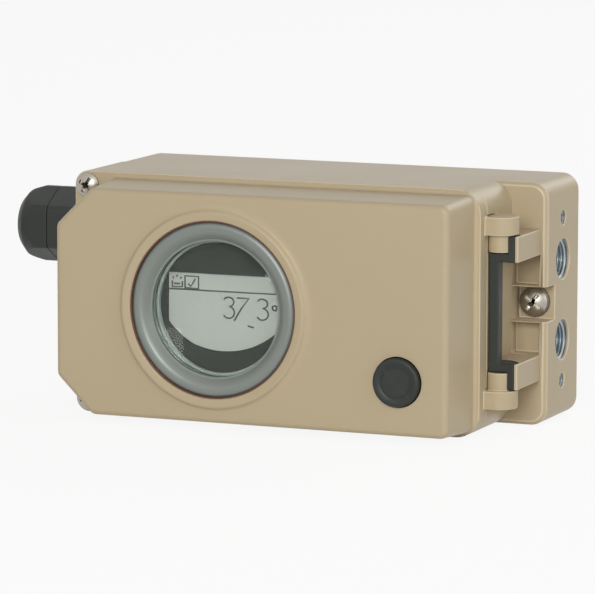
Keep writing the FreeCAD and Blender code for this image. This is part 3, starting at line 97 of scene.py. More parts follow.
# Studio: a white sweep of card under the object, and a white room whose light comes from all sides.
# What the lens and the glossy surfaces see of it is white, and the card keeps a faint shadow.
def material(name):
    """A new material: its nodes, links and Principled shader."""
    new = bpy.data.materials.new(name)
    new.use_nodes = True
    tree = new.node_tree
    return new, tree.nodes, tree.links, tree.nodes["Principled BSDF"]


def seen(tree_nodes, links):
    """1 for a ray from the lens, or by way of a glossy or clear surface."""
    path = tree_nodes.new("ShaderNodeLightPath")
    any_of = path.outputs["Is Camera Ray"]
    for kind in ("Is Glossy Ray", "Is Transmission Ray"):
        either = tree_nodes.new("ShaderNodeMath")
        either.operation = "MAXIMUM"
        links.new(any_of, either.inputs[0])
        links.new(path.outputs[kind], either.inputs[1])
        any_of = either.outputs[0]
    return any_of


def dial(node, values):
    """Sets a node's inputs by name."""
    for label, value in values.items():
        node.inputs[label].default_value = value


def meshed(work, name):
    """A new mesh of what was worked out."""
    mesh = bpy.data.meshes.new(name)
    work.to_mesh(mesh)
    work.free()
    return mesh


card, card_nodes, card_links, card_shader = material("white_card")
dial(card_shader, {"Base Color": (0.86, 0.86, 0.85, 1), "Roughness": 0.9})
glow = card_nodes.new("ShaderNodeEmission")
dial(glow, {"Color": (1, 1, 1, 1)})
glow_share = 0.9
share = card_nodes.new("ShaderNodeMath")
share.operation = "MULTIPLY"
share.inputs[1].default_value = glow_share
card_mix = card_nodes.new("ShaderNodeMixShader")
card_links.new(seen(card_nodes, card_links), share.inputs[0])
card_links.new(share.outputs[0], card_mix.inputs[0])
card_links.new(card_shader.outputs[0], card_mix.inputs[1])
card_links.new(glow.outputs[0], card_mix.inputs[2])
card_links.new(card_mix.outputs[0], card_nodes["Material Output"].inputs["Surface"])

sheet, floor_gap, floor_reach = bmesh.new(), 0.1 * MM, 3
floor_level = cad_box[0].z - floor_gap
bmesh.ops.create_grid(sheet, x_segments=8, y_segments=8, size=floor_reach)
bmesh.ops.translate(sheet, verts=sheet.verts, vec=(0, 0, floor_level))
floor_mesh = meshed(sheet, "floor")
floor = bpy.data.objects.new("floor", floor_mesh)
floor_mesh.materials.append(card)
bpy.context.scene.collection.objects.link(floor)

room = bpy.data.worlds.new("room")
room.use_nodes = True
bpy.context.scene.world = room
room_nodes, room_links = room.node_tree.nodes, room.node_tree.links
fill, white = room_nodes["Background"], room_nodes.new("ShaderNodeBackground")
dial(fill, {"Color": (1, 0.98, 0.94, 1), "Strength": 0.26})
dial(white, {"Color": (1, 1, 1, 1)})
room_mix = room_nodes.new("ShaderNodeMixShader")
room_links.new(seen(room_nodes, room_links), room_mix.inputs[0])
room_links.new(fill.outputs[0], room_mix.inputs[1])
room_links.new(white.outputs[0], room_mix.inputs[2])
room_links.new(room_mix.outputs[0], room_nodes["World Output"].inputs["Surface"])

for lamp_name, spot, size, power in (
    ("key", (0.45, -1.75, 0.6), 0.8, 18.5),
    ("side", (1.6, -0.3, 0.5), 0.8, 5.0),
    ("back", (0.5, 1.6, 0.9), 0.9, 6.0),
):
    lamp_data = bpy.data.lights.new(lamp_name, "AREA")
    lamp_data.size, lamp_data.energy = size, power
    lamp = bpy.data.objects.new(lamp_name, lamp_data)
    lamp.location = spot
    lamp.rotation_euler = (Vector((0, 0, 0)) - Vector(spot)).to_track_quat("-Z", "Y").to_euler()
    bpy.context.scene.collection.objects.link(lamp)

# Castings: the housing, its front section, the two hinge arms and the hinged cover are pressure-cast
# aluminium under a sand-coloured powder coat, with a fine orange peel and softly rounded edges.
def kept(name, mesh, coats, body, slot, *stands_for):
    """Makes a finished mesh a piece of the object, in place of the CAD nodes that it stands for."""
    mesh.materials.clear()
    for coat in coats:
        mesh.materials.append(coat)
    piece = bpy.data.objects.new(name, mesh)
    bpy.context.scene.collection.objects.link(piece)
    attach(piece, body)
    if stands_for:
        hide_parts(*stands_for)
    return piece


def formed(node, coat, edge, flat=False, edge_coat=None):
    """A welded copy of a CAD node's mesh with softened edges, which stands for the node.

    The edges can have a lighter coat of their own, which is a painted highlight. With flat, level facets that don't
    look to the back are joined.
    """
    sharp_angle, level_angle = math.radians(30), math.radians(0.6)
    looks_back, room_beside, bevel_steps = 0.5, 1.3, 3
    mesh = nodes[node].data.copy()
    if mesh.has_custom_normals:
        mesh.attributes.remove(mesh.attributes["custom_normal"])
    work = bmesh.new()
    work.from_mesh(mesh)
    bmesh.ops.remove_doubles(work, verts=work.verts, dist=1e-6)
    if flat:
        outside, corners = (
            [item for item in items if all(face.normal.y < looks_back for face in item.link_faces)]
            for items in (work.edges, work.verts)
        )
        bmesh.ops.dissolve_limit(work, angle_limit=level_angle, verts=corners, edges=outside)
    for face in work.faces:
        face.smooth, face.material_index = True, 0
    weight = work.edges.layers.float.new("bevel_weight_edge")
    sharp = {side for side in work.edges if len(side.link_faces) == 2 and side.calc_face_angle() > sharp_angle}
    for side in sharp if edge else ():
        beside = [other.calc_length() for end in side.verts for other in end.link_edges if other not in sharp]
        side.smooth = min(beside, default=1) > room_beside * edge * MM
        side[weight] = float(side.smooth)
    work.to_mesh(mesh)
    work.free()
    slot = next(part["material_slot"] for part in frame["record"]["subparts"] if part["node"] == node)
    if not edge:
        mesh.set_sharp_from_angle(angle=sharp_angle)
    coats = [coat, edge_coat] if edge_coat else [coat]
    piece = kept(node + "_form", mesh, coats, nodes[node]["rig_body"], slot, node)
    if edge:
        softened = piece.modifiers.new("softened", "BEVEL")
        softened.width, softened.segments = edge * MM, bevel_steps
        softened.limit_method = "WEIGHT"
        softened.material = 1 if edge_coat else -1
        softened.use_clamp_overlap, softened.loop_slide = False, flat
        shaded = piece.modifiers.new("shaded", "WEIGHTED_NORMAL")
        softened.face_strength_mode, shaded.use_face_influence = "FSTR_AFFECTED", True
        shaded.weight, shaded.keep_sharp = 100, True
    return piece


def effect(name, inputs, outputs):
    """A new shader group with its named inputs and their start values, and its named outputs."""
    group = bpy.data.node_groups.new(name, "ShaderNodeTree")
    for label, start in inputs.items():
        kind = {3: "Vector", 4: "Color"}[len(start)] if isinstance(start, tuple) else "Float"
        socket = group.interface.new_socket(label, in_out="INPUT", socket_type="NodeSocket" + kind)
        socket.default_value = start
    for label in outputs:
        kind = "NodeSocketColor" if label == "Colour" else "NodeSocketFloat"
        group.interface.new_socket(label, in_out="OUTPUT", socket_type=kind)
    return group, group.nodes.new("NodeGroupInput").outputs, group.nodes.new("NodeGroupOutput").inputs


def mapped(group, source, low, high):
    """A mask spread over new limits, which may be sockets or numbers."""
    spread = group.nodes.new("ShaderNodeMapRange")
    group.links.new(source, spread.inputs["Value"])
    for label, limit in (("To Min", low), ("To Max", high)):
        if isinstance(limit, bpy.types.NodeSocket):
            group.links.new(limit, spread.inputs[label])
        else:
            spread.inputs[label].default_value = limit
    return spread.outputs["Result"]


def blended(group, mask, low, high):
    """Two colours mixed by a mask."""
    mix = group.nodes.new("ShaderNodeMix")
    mix.data_type = "RGBA"
    group.links.new(mask, mix.inputs["Factor"])
    group.links.new(low, mix.inputs[6])
    group.links.new(high, mix.inputs[7])
    return mix.outputs[2]


def finish(name, look, values, relief, shader_values=None):
    """A material whose colour, roughness and relief come from a shared effect with its own values."""
    new, its_nodes, its_links, shader = material(name)
    source = its_nodes.new("ShaderNodeGroup")
    source.node_tree = look
    dial(source, values)
    bump = its_nodes.new("ShaderNodeBump")
    dial(bump, {"Strength": 1.0, "Distance": relief})
    its_links.new(source.outputs["Colour"], shader.inputs["Base Color"])
    its_links.new(source.outputs["Roughness"], shader.inputs["Roughness"])
    its_links.new(source.outputs["Height"], bump.inputs["Height"])
    its_links.new(bump.outputs["Normal"], shader.inputs["Normal"])
    dial(shader, shader_values or {})
    return new


# Grain: fine specks for the orange peel and larger patches of a darker tone, with a painted highlight: convex edges are
# mixed towards a lighter edge highlight tone.
grain, grain_in, grain_out = effect(
    "grain",
    {"Tone": (0.5, 0.4, 0.3, 1), "Dark tone": (0.4, 0.3, 0.2, 1), "Edge highlight tone": (0.6, 0.5, 0.4, 1),
     "Grain size": 1400.0, "Patch size": 38.0, "Smooth": 0.34, "Rough": 0.48, "Rub": 0.5},
    ("Colour", "Height", "Roughness"),
)
spot = grain.nodes.new("ShaderNodeTexCoord").outputs["Object"]
specks, patches = grain.nodes.new("ShaderNodeTexNoise"), grain.nodes.new("ShaderNodeTexNoise")
dial(specks, {"Detail": 3})
dial(patches, {"Detail": 4})
for noise, size in ((specks, "Grain size"), (patches, "Patch size")):
    grain.links.new(spot, noise.inputs["Vector"])
    grain.links.new(grain_in[size], noise.inputs["Scale"])
# Painted highlight: convex edges, found by their pointiness, get the lighter edge highlight tone.
pointed = grain.nodes.new("ShaderNodeNewGeometry").outputs["Pointiness"]
ridge = grain.nodes.new("ShaderNodeMapRange")
dial(ridge, {"From Min": 0.52, "From Max": 0.6})
grain.links.new(pointed, ridge.inputs["Value"])
edge_highlight_mask = grain.nodes.new("ShaderNodeMath")
edge_highlight_mask.operation = "MULTIPLY"
grain.links.new(ridge.outputs["Result"], edge_highlight_mask.inputs[0])
grain.links.new(grain_in["Rub"], edge_highlight_mask.inputs[1])
body_tone = blended(grain, patches.outputs["Fac"], grain_in["Tone"], grain_in["Dark tone"])
grain.links.new(blended(grain, edge_highlight_mask.outputs[0], body_tone, grain_in["Edge highlight tone"]), grain_out["Colour"])
dullness = mapped(grain, patches.outputs["Fac"], grain_in["Smooth"], grain_in["Rough"])
grain.links.new(dullness, grain_out["Roughness"])
grain.links.new(specks.outputs["Fac"], grain_out["Height"])

sand = finish(
    "sand_powder_coat",
    grain,
    {"Tone": (0.52, 0.427, 0.282, 1), "Dark tone": (0.485, 0.398, 0.26, 1), "Grain size": 900.0,
     "Patch size": 30.0, "Smooth": 0.34, "Rough": 0.44, "Rub": 0.0},
    0.00002,
    {"Coat Weight": 0.06, "Coat Roughness": 0.2, "Specular IOR Level": 0.25},
)
# The bevelled edges of the castings get a lighter sand with more coat: a painted highlight along every edge.
sand_painted_highlight = finish(
    "sand_coat_on_edges",
    grain,
    {"Tone": (0.64, 0.55, 0.4, 1), "Dark tone": (0.58, 0.49, 0.34, 1), "Grain size": 900.0, "Patch size": 30.0,
     "Smooth": 0.3, "Rough": 0.4, "Rub": 0.0},
    0.00002,
    {"Coat Weight": 0.2, "Coat Roughness": 0.2, "Specular IOR Level": 0.35},
)
formed("housing", sand, 0.35, edge_coat=sand_painted_highlight)
front_mesh = formed("front_section", sand, 0.4, flat=True, edge_coat=sand_painted_highlight).data
# The seats around the hinge's axis keep plain edges, because the trunnions turn close to them.
hinge_axis, seat_reach = Vector((68.3, -50)) * MM, 4.4 * MM
seat_corners = {corner.index for corner in front_mesh.vertices if (corner.co.xy - hinge_axis).length < seat_reach}
for side in front_mesh.edges:
    if seat_corners.issuperset(side.vertices) and not side.use_edge_sharp:
        front_mesh.attributes["bevel_weight_edge"].data[side.index].value = 0
formed("hinge_arms", sand, 0.4, flat=True, edge_coat=sand_painted_highlight)
formed("cover", sand, 0.3, flat=True, edge_coat=sand_painted_highlight)

# Flange rims: at the cover's two hinge-side corners the gasket groove runs close to the edge, and a thin
# rim of the same coated casting closes it from outside.
def bridged(work, rings, following):
    """Four-sided faces between each ring of vertices and the one that follows it."""
    for near, far in zip(rings, following):
        for index in range(len(near)):
            after = (index + 1) % len(near)
            work.faces.new((near[index], near[after], far[after], far[index]))


flange_corner, flange_round = Vector((56.9, 31.7)), 8.01
rim_inside, rim_front, rim_back = 7.6, -54.8, -53.3
first_turn, turn_step, turns = 48, 3, 7
for rim_name, up in (("flange_rim_upper", 1), ("flange_rim_lower", -1)):
    rim_work = bmesh.new()
    rings = []
    for step in range(turns):
        angle = math.radians(first_turn + turn_step * step)
        ring = []
        for size, level in (
            (rim_inside, rim_front), (flange_round, rim_front), (flange_round, rim_back), (rim_inside, rim_back),
        ):
            across, high = flange_corner + Vector((math.cos(angle), math.sin(angle))) * size
            ring.append(rim_work.verts.new(Vector((across, level, up * high)) * MM))
        rings.append(ring)
    bridged(rim_work, rings, rings[1:])
    rim_work.faces.new(rings[0])
    rim_work.faces.new(rings[-1])
    bmesh.ops.recalc_face_normals(rim_work, faces=rim_work.faces)
    kept(rim_name, meshed(rim_work, rim_name), [sand], "cover", "powder_coat")

# Air ports: two G 1/4 threads and two small fixing threads, cut into the bare metal of the block. Each
# turn is a sharp ridge that starts behind the mouth's bevel. The threads are left uncoated.
brushed, brushed_in, brushed_out = effect(
    "brushed",
    {"Tone": (0.6, 0.6, 0.6, 1), "Dark tone": (0.4, 0.4, 0.4, 1), "Stretch": (1.0, 1.0, 1.0), "Grain size": 900.0,
     "Smooth": 0.2, "Rough": 0.4},
    ("Colour", "Height", "Roughness"),
)
along = brushed.nodes.new("ShaderNodeMapping")
strokes, clouds = brushed.nodes.new("ShaderNodeTexNoise"), brushed.nodes.new("ShaderNodeTexNoise")
dial(clouds, {"Scale": 120})
place = brushed.nodes.new("ShaderNodeTexCoord").outputs["Object"]
brushed.links.new(place, along.inputs["Vector"])
brushed.links.new(brushed_in["Stretch"], along.inputs["Scale"])
brushed.links.new(along.outputs["Vector"], strokes.inputs["Vector"])
brushed.links.new(brushed_in["Grain size"], strokes.inputs["Scale"])
brushed.links.new(place, clouds.inputs["Vector"])
clouded = blended(brushed, clouds.outputs["Fac"], brushed_in["Tone"], brushed_in["Dark tone"])
brushed.links.new(clouded, brushed_out["Colour"])
scratched = mapped(brushed, strokes.outputs["Fac"], brushed_in["Smooth"], brushed_in["Rough"])
brushed.links.new(scratched, brushed_out["Roughness"])
brushed.links.new(strokes.outputs["Fac"], brushed_out["Height"])

bare_metal = finish(
    "bare_cast_metal",
    brushed,
    {"Tone": (0.62, 0.67, 0.7, 1), "Dark tone": (0.42, 0.47, 0.5, 1), "Stretch": (1.0, 0.2, 0.2)},
    0.00001,
    {"Metallic": 1.0},
)


class Tree:
    """Writes a Geometry Nodes tree in few words: each call adds one node and returns its output."""

    def __init__(self, name, **sizes):
        self.tree = bpy.data.node_groups.new(name, "GeometryNodeTree")
        for label, kind in {"Seats": "Geometry", **sizes}.items():
            self.tree.interface.new_socket(label.replace("_", " "), in_out="INPUT", socket_type="NodeSocket" + kind)
        self.tree.interface.new_socket("Made", in_out="OUTPUT", socket_type="NodeSocketGeometry")
        self.given = self.tree.nodes.new("NodeGroupInput").outputs
        self.result = self.tree.nodes.new("NodeGroupOutput").inputs["Made"]

    def add(self, kind, settings=None, **sockets):
        step = self.tree.nodes.new(kind)
        for label, value in (settings or {}).items():
            setattr(step, label, value)
        for label, value in sockets.items():
            name = label.replace("_", " ")
            socket = step.inputs[int(name[5:])] if name.startswith("slot ") else step.inputs[name]
            for one in value if isinstance(value, list) else [value]:
                if isinstance(one, bpy.types.NodeSocket):
                    self.tree.links.new(one, socket)
                else:
                    socket.default_value = one
        return step.outputs[0]

    def sum(self, operation, *values):
        slots = {f"slot_{index}": value for index, value in enumerate(values)}
        return self.add("ShaderNodeMath", {"operation": operation}, **slots)

    def times(self, value, share):
        return self.sum("MULTIPLY", value, share)

    def moved(self, geometry, z):
        return self.add("GeometryNodeTransform", Geometry=geometry, Translation=self.vector(z=z))

    def vector(self, x=0.0, y=0.0, z=0.0):
        return self.add("ShaderNodeCombineXYZ", X=x, Y=y, Z=z)

    def close(self, geometry, metal):
        whole = self.add("GeometryNodeRealizeInstances", Geometry=geometry)
        self.tree.links.new(self.add("GeometryNodeSetMaterial", Geometry=whole, Material=metal), self.result)
        return self.tree


def grown(tree, seats, turns=None, runs=(), **sizes):
    """The mesh that a tree makes on points, each with its turn in degrees, or along the runs between them."""
    sharp_angle = math.radians(35)
    mesh = bpy.data.meshes.new("seats")
    mesh.from_pydata([Vector(seat) * MM for seat in seats], runs, [])
    attribute = mesh.attributes.new("turn", "FLOAT", "POINT")
    for item, turn in zip(attribute.data, turns or [0] * len(seats)):
        item.value = math.radians(turn)
    carrier = bpy.data.objects.new("carrier", mesh)
    bpy.context.scene.collection.objects.link(carrier)
    modifier = carrier.modifiers.new("grown", "NODES")
    modifier.node_group = tree
    for item in tree.interface.items_tree:
        if item.in_out == "INPUT" and item.name.replace(" ", "_") in sizes:
            modifier[item.identifier] = sizes[item.name.replace(" ", "_")]
    made = bpy.data.meshes.new_from_object(carrier.evaluated_get(bpy.context.evaluated_depsgraph_get()))
    bpy.data.objects.remove(carrier)
    made.shade_smooth()
    made.set_sharp_from_angle(angle=sharp_angle)
    return made


thread = Tree("cut_thread", Radius="Float", Depth="Float", Pitch="Float", Metal="Material")
radius, depth, pitch = (thread.given[label] for label in ("Radius", "Depth", "Pitch"))
turns_cut = thread.sum("DIVIDE", depth, pitch)
helix = thread.add(
    "GeometryNodeCurveSpiral", Resolution=56, Rotations=turns_cut, Start_Radius=radius, End_Radius=radius, Height=depth
)
ridge_shape = thread.add("GeometryNodeCurvePrimitiveCircle", Resolution=3, Radius=thread.times(pitch, 0.56))
ridges = thread.add("GeometryNodeCurveToMesh", Curve=helix, Profile_Curve=ridge_shape, Fill_Caps=True)
wall_shares, bore_shares = (1.014, 1.0), (0.985, 1.3)
wall, bore = (
    thread.add(
        "GeometryNodeMeshCylinder", Vertices=56, Radius=thread.times(radius, wide), Depth=thread.times(depth, deep)
    )
    for wide, deep in (wall_shares, bore_shares)
)
wall = thread.add("GeometryNodeMeshBoolean", {"operation": "DIFFERENCE"}, Mesh_1=wall, Mesh_2=bore)
wall = thread.moved(wall, thread.times(depth, 0.5))
cut = thread.add("GeometryNodeJoinGeometry", Geometry=[ridges, wall])
turned_in = thread.add("GeometryNodeTransform", Geometry=cut, Rotation=(0, math.radians(-90), 0))
on_seats = thread.add("GeometryNodeInstanceOnPoints", Points=thread.given["Seats"], Instance=turned_in)
cut_thread = thread.close(on_seats, thread.given["Metal"])
ports = [(76.2, -14.9, 13.2), (76.2, -14.9, -13.2)]
port_ridges = grown(cut_thread, ports, Radius=6.46 * MM, Depth=9.9 * MM, Pitch=1.337 * MM, Metal=bare_metal)
kept("port_threads", port_ridges, [bare_metal], "body", "aluminium")
small_holes = [(76.5, -14.9, 26.6), (76.5, -14.9, -26.6)]
small_ridges = grown(cut_thread, small_holes, Radius=2.28 * MM, Depth=8.2 * MM, Pitch=0.8 * MM, Metal=bare_metal)
kept("side_hole_threads", small_ridges, [bare_metal], "body", "aluminium")

# Cover screws and ground screws: stainless pan heads with a cross recess and a rolled thread. The two
# in the cover are captive, and one more grounds the wiring space from a boss inside.
stainless = finish(
    "turned_stainless",
    brushed,
    {"Tone": (0.47, 0.44, 0.38, 1), "Dark tone": (0.33, 0.3, 0.26, 1), "Stretch": (1.0, 0.25, 1.0), "Grain size": 900.0,
     "Smooth": 0.3, "Rough": 0.44},
    0.0000015,
    {"Metallic": 1.0},
)
zinc = finish(
    "zinc_plate",
    brushed,
    {"Tone": (0.66, 0.68, 0.7, 1), "Dark tone": (0.55, 0.57, 0.56, 1), "Grain size": 1500.0,
     "Smooth": 0.28, "Rough": 0.42},
    0.000004,
    {"Metallic": 1.0},
)

screw = Tree(
    "cross_head_screw", Head_radius="Float", Head_rise="Float", Shank_radius="Float", Shank_length="Float",
    Pitch="Float", Metal="Material",
)
head_radius, head_rise, shank_radius, shank_length, screw_pitch = (
    screw.given[label] for label in ("Head radius", "Head rise", "Shank radius", "Shank length", "Pitch")
)
drum = screw.add("GeometryNodeMeshCylinder", Vertices=40, Radius=head_radius, Depth=head_rise)
drum = screw.moved(drum, screw.times(head_rise, 0.5))
fall = screw.times(head_rise, 0.66)
crown = screw.sum(
    "DIVIDE",
    screw.sum("ADD", screw.times(head_radius, head_radius), screw.times(fall, fall)),
    screw.times(fall, 2.0),
)
dome = screw.add("GeometryNodeMeshUVSphere", Segments=40, Rings=28, Radius=crown)
dome = screw.moved(dome, screw.sum("SUBTRACT", head_rise, crown))
head = screw.add("GeometryNodeMeshBoolean", {"operation": "INTERSECT"}, Mesh_2=[drum, dome])
wing_share, slot_share, sunk_share = 1.36, 0.29, 1.0
wing, slot, sunk = (screw.times(head_radius, share) for share in (wing_share, slot_share, sunk_share))
recess = []
for first, second in ((wing, slot), (slot, wing)):
    blade = screw.add("GeometryNodeMeshCube", Size=screw.vector(first, second, sunk))
    recess.append(screw.moved(blade, head_rise))
flare = screw.add(
    "GeometryNodeMeshCone", Vertices=12, Radius_Top=screw.times(head_radius, 0.42),
    Radius_Bottom=screw.times(head_radius, 0.06), Depth=sunk,
)
recess.append(screw.moved(flare, screw.times(head_rise, 0.72)))
head = screw.add("GeometryNodeMeshBoolean", {"operation": "DIFFERENCE"}, Mesh_1=head, Mesh_2=recess)
core = screw.add("GeometryNodeMeshCylinder", Vertices=24, Radius=screw.times(shank_radius, 0.84), Depth=shank_length)
core = screw.moved(core, screw.times(shank_length, -0.5))
coil_radius = screw.times(shank_radius, 0.87)
coil = screw.add(
    "GeometryNodeCurveSpiral", Resolution=20, Rotations=screw.sum("DIVIDE", shank_length, screw_pitch),
    Start_Radius=coil_radius, End_Radius=coil_radius, Height=screw.times(shank_length, 0.94),
)
flank = screw.add("GeometryNodeCurvePrimitiveCircle", Resolution=3, Radius=screw.times(shank_radius, 0.13))
coil = screw.add("GeometryNodeCurveToMesh", Curve=coil, Profile_Curve=flank, Fill_Caps=True)
coil = screw.moved(coil, screw.times(shank_length, -0.97))
whole = screw.add("GeometryNodeJoinGeometry", Geometry=[head, core, coil])
turn = screw.add("GeometryNodeInputNamedAttribute", {"data_type": "FLOAT"}, Name="turn")
facing = screw.vector(math.radians(90), turn, 0.0)
placed = screw.add("GeometryNodeInstanceOnPoints", Points=screw.given["Seats"], Instance=whole, Rotation=facing)
cross_head = screw.close(placed, screw.given["Metal"])

cover_screws = grown(
    cross_head, [(-71.2, -59.5, 35.1), (-71.2, -59.5, -35.1)], [30, 75], Head_radius=4.0 * MM, Head_rise=2.4 * MM,
    Shank_radius=2.0 * MM, Shank_length=14.4 * MM, Pitch=0.7 * MM, Metal=stainless,
)
kept("cover_screw_pair", cover_screws, [stainless], "cover", "stainless", "cover_screws")
ground_screw = grown(
    cross_head, [(70.3, -23.5, 0)], [38], Head_radius=4.7 * MM, Head_rise=3.0 * MM, Shank_radius=2.5 * MM,
    Shank_length=9.0 * MM, Pitch=0.8 * MM, Metal=stainless,
)
kept("ground_screw_m5", ground_screw, [stainless], "body", "stainless", "ground_screw")
inner_ground = grown(
    cross_head, [(-63.1, -20.0, -1.0)], [12], Head_radius=3.9 * MM, Head_rise=3.0 * MM, Shank_radius=2.0 * MM,
    Shank_length=10.8 * MM, Pitch=0.7 * MM, Metal=stainless,
)
kept("inner_ground_screw_m4", inner_ground, [stainless], "body", "stainless", "inner_ground_screw")

# Ground washer: a toothed lock washer, stamped from spring steel and blackened, under the outer ground
# screw. Its turned-up teeth bite through the coat to make contact.
blackened = finish(
    "blackened_steel",
    brushed,
    {"Tone": (0.27, 0.24, 0.2, 1), "Dark tone": (0.18, 0.16, 0.135, 1), "Grain size": 1200.0,
     "Smooth": 0.3, "Rough": 0.5},
    0.000006,
    {"Metallic": 0.9},
)
washer = Tree(
    "toothed_washer", Teeth="Int", Inner_radius="Float", Outer_radius="Float", Thickness="Float", Metal="Material"
)
teeth, inner, outer, thick = (washer.given[label] for label in ("Teeth", "Inner radius", "Outer radius", "Thickness"))
plate = washer.add("GeometryNodeMeshCylinder", Vertices=48, Radius=washer.times(outer, 0.96), Depth=thick)
hole = washer.add("GeometryNodeMeshCylinder", Vertices=48, Radius=inner, Depth=washer.times(thick, 2.0))
plate = washer.add("GeometryNodeMeshBoolean", {"operation": "DIFFERENCE"}, Mesh_1=plate, Mesh_2=hole)
tooth_size = washer.vector(washer.times(outer, 0.26), washer.times(outer, 0.2), washer.times(thick, 0.7))
tooth = washer.add("GeometryNodeMeshCube", Size=tooth_size)
tooth = washer.add("GeometryNodeTransform", Geometry=tooth, Rotation=(math.radians(20), 0, 0))
rim = washer.add("GeometryNodeCurvePrimitiveCircle", Resolution=teeth, Radius=washer.times(outer, 0.85))
tooth_turn = washer.sum("DIVIDE", math.tau, teeth)
spun = washer.vector(z=washer.times(washer.add("GeometryNodeInputIndex"), tooth_turn))
ring_of_teeth = washer.add("GeometryNodeInstanceOnPoints", Points=rim, Instance=tooth, Rotation=spun)
whole = washer.add("GeometryNodeJoinGeometry", Geometry=[plate, ring_of_teeth])
whole = washer.add("GeometryNodeTransform", Geometry=whole, Rotation=(math.radians(90), 0, 0))
placed = washer.add("GeometryNodeInstanceOnPoints", Points=washer.given["Seats"], Instance=whole)
toothed = washer.close(placed, washer.given["Metal"])
washer_mesh = grown(
    toothed, [(70.3, -23.0, 0)], Teeth=20, Inner_radius=2.5 * MM, Outer_radius=5.25 * MM, Thickness=1.0 * MM,
    Metal=blackened,
)
kept("ground_washer_toothed", washer_mesh, [blackened], "body", "dark_steel", "ground_washer")

# Window ring: a blue-grey anodised aluminium profile pressed into the cover's collar on a thin bead
# of brown sealant. Its face is a soft convex band that falls away to the glass.
def lathe(centre, profile, steps=144, sharp=38):
    """A closed mesh turned about the Y direction at a centre, from a loop of radius and level in millimetres."""
    work = bmesh.new()
    rings = []
    for step in range(steps):
        angle = math.tau * step / steps
        ring = []
        for radius, level in profile:
            point = Vector((radius * math.cos(angle), level, radius * math.sin(angle)))
            ring.append(work.verts.new((point + Vector(centre)) * MM))
        rings.append(ring)
    bridged(work, rings, rings[1:] + rings[:1])
    bmesh.ops.remove_doubles(work, verts=work.verts, dist=1e-7)
    bmesh.ops.dissolve_degenerate(work, dist=1e-8, edges=work.edges)
    bmesh.ops.recalc_face_normals(work, faces=work.faces)
    for face in work.faces:
        face.smooth = True
    mesh = meshed(work, "turned")
    mesh.set_sharp_from_angle(angle=math.radians(sharp))
    return mesh


def arc(radius, level, size, start, end, count=8):
    """Points of a round corner in a profile: its centre, its size, and the angles that it runs between."""
    angles = [math.radians(start + (end - start) * index / count) for index in range(count + 1)]
    return [(radius + size * math.cos(angle), level + size * math.sin(angle)) for angle in angles]


window_centre = (-17.7, 0, -0.2)
collar_lip = (
    [(28.64, -79.0), (28.64, -81.3)]
    + arc(29.14, -81.62, 0.5, 180, 255, 4)
    + arc(30.85, -81.1, 1.1, 250, 335, 8)
    + [(32.2, -81.1), (32.7, -80.88), (33.4, -80.76), (34.3, -80.69), (34.2, -80.4), (31.0, -80.0)]
)
kept("window_collar_lip", lathe(window_centre, collar_lip, sharp=60), [sand], "cover", "powder_coat")
# The ring's lighter edge highlight tone on its convex edges is a painted highlight.
anodised = finish(
    "blue_grey_anodised",
    grain,
    {"Tone": (0.232, 0.254, 0.235, 1), "Dark tone": (0.198, 0.22, 0.2, 1), "Edge highlight tone": (0.31, 0.335, 0.315, 1),
     "Grain size": 2200.0, "Patch size": 55.0, "Smooth": 0.36, "Rough": 0.46, "Rub": 0.3},
    0.000006,
    {"Metallic": 0.3, "Coat Weight": 0.15, "Coat Roughness": 0.35},
)
ring_profile = (
    [(29.5, -72.8), (29.5, -77.2), (28.4, -77.2), (28.4, -79.4)]
    + arc(26.3, -79.5, 2.1, 2, -88, 12)
    + [(25.2, -81.55), (24.4, -81.2), (23.4, -80.3), (22.5, -79.35)]
    + arc(22.3, -78.95, 0.5, -140, -180, 4)
    + [(21.8, -78.3), (23.6, -78.25), (23.6, -75.15), (21.85, -75.1), (21.85, -72.8)]
)
ring_mesh = lathe(window_centre, ring_profile)
kept("window_ring_profile", ring_mesh, [anodised], "cover", "window_profile", "window_ring")

# The bead's lighter edge highlight tone on convex edges is a painted highlight.
sealant = finish(
    "brown_sealant",
    grain,
    {"Tone": (0.15, 0.05, 0.028, 1), "Dark tone": (0.1, 0.035, 0.02, 1), "Edge highlight tone": (0.18, 0.07, 0.04, 1),
     "Grain size": 1800.0, "Smooth": 0.4, "Rough": 0.6, "Rub": 0.2},
    0.00001,
)
bead_profile = arc(28.4, -81.25, 0.3, 0, 330, 11)
kept("sealant_bead", lathe(window_centre, bead_profile), [sealant], "cover", "rubber")

# Window glass: a plane of tempered glass with polished bevels, between two thin black gaskets. It sits
# in the window ring's groove, and a machined aluminium retainer clamps the ring from inside.
glass, glass_nodes, glass_links, glass_shader = material("tempered_glass")
dial(glass_shader, {"Base Color": (0.93, 0.97, 0.95, 1), "Roughness": 0.02, "IOR": 1.2, "Transmission Weight": 1.0})
clear = glass_nodes.new("ShaderNodeBsdfTransparent")
dial(clear, {"Color": (0.9, 0.93, 0.915, 1)})
through = glass_nodes.new("ShaderNodeMixShader")
path = glass_nodes.new("ShaderNodeLightPath")
glass_links.new(path.outputs["Is Shadow Ray"], through.inputs[0])
glass_links.new(glass_shader.outputs[0], through.inputs[1])
glass_links.new(clear.outputs[0], through.inputs[2])
glass_links.new(through.outputs[0], glass_nodes["Material Output"].inputs["Surface"])
glass_profile = [(0, -78.2), (22.9, -78.2), (23.5, -77.8), (23.5, -75.6), (22.9, -75.2), (0, -75.2)]
glass_mesh = lathe(window_centre, glass_profile)
kept("window_glass_plane", glass_mesh, [glass], "cover", "window_glass", "window_glass")
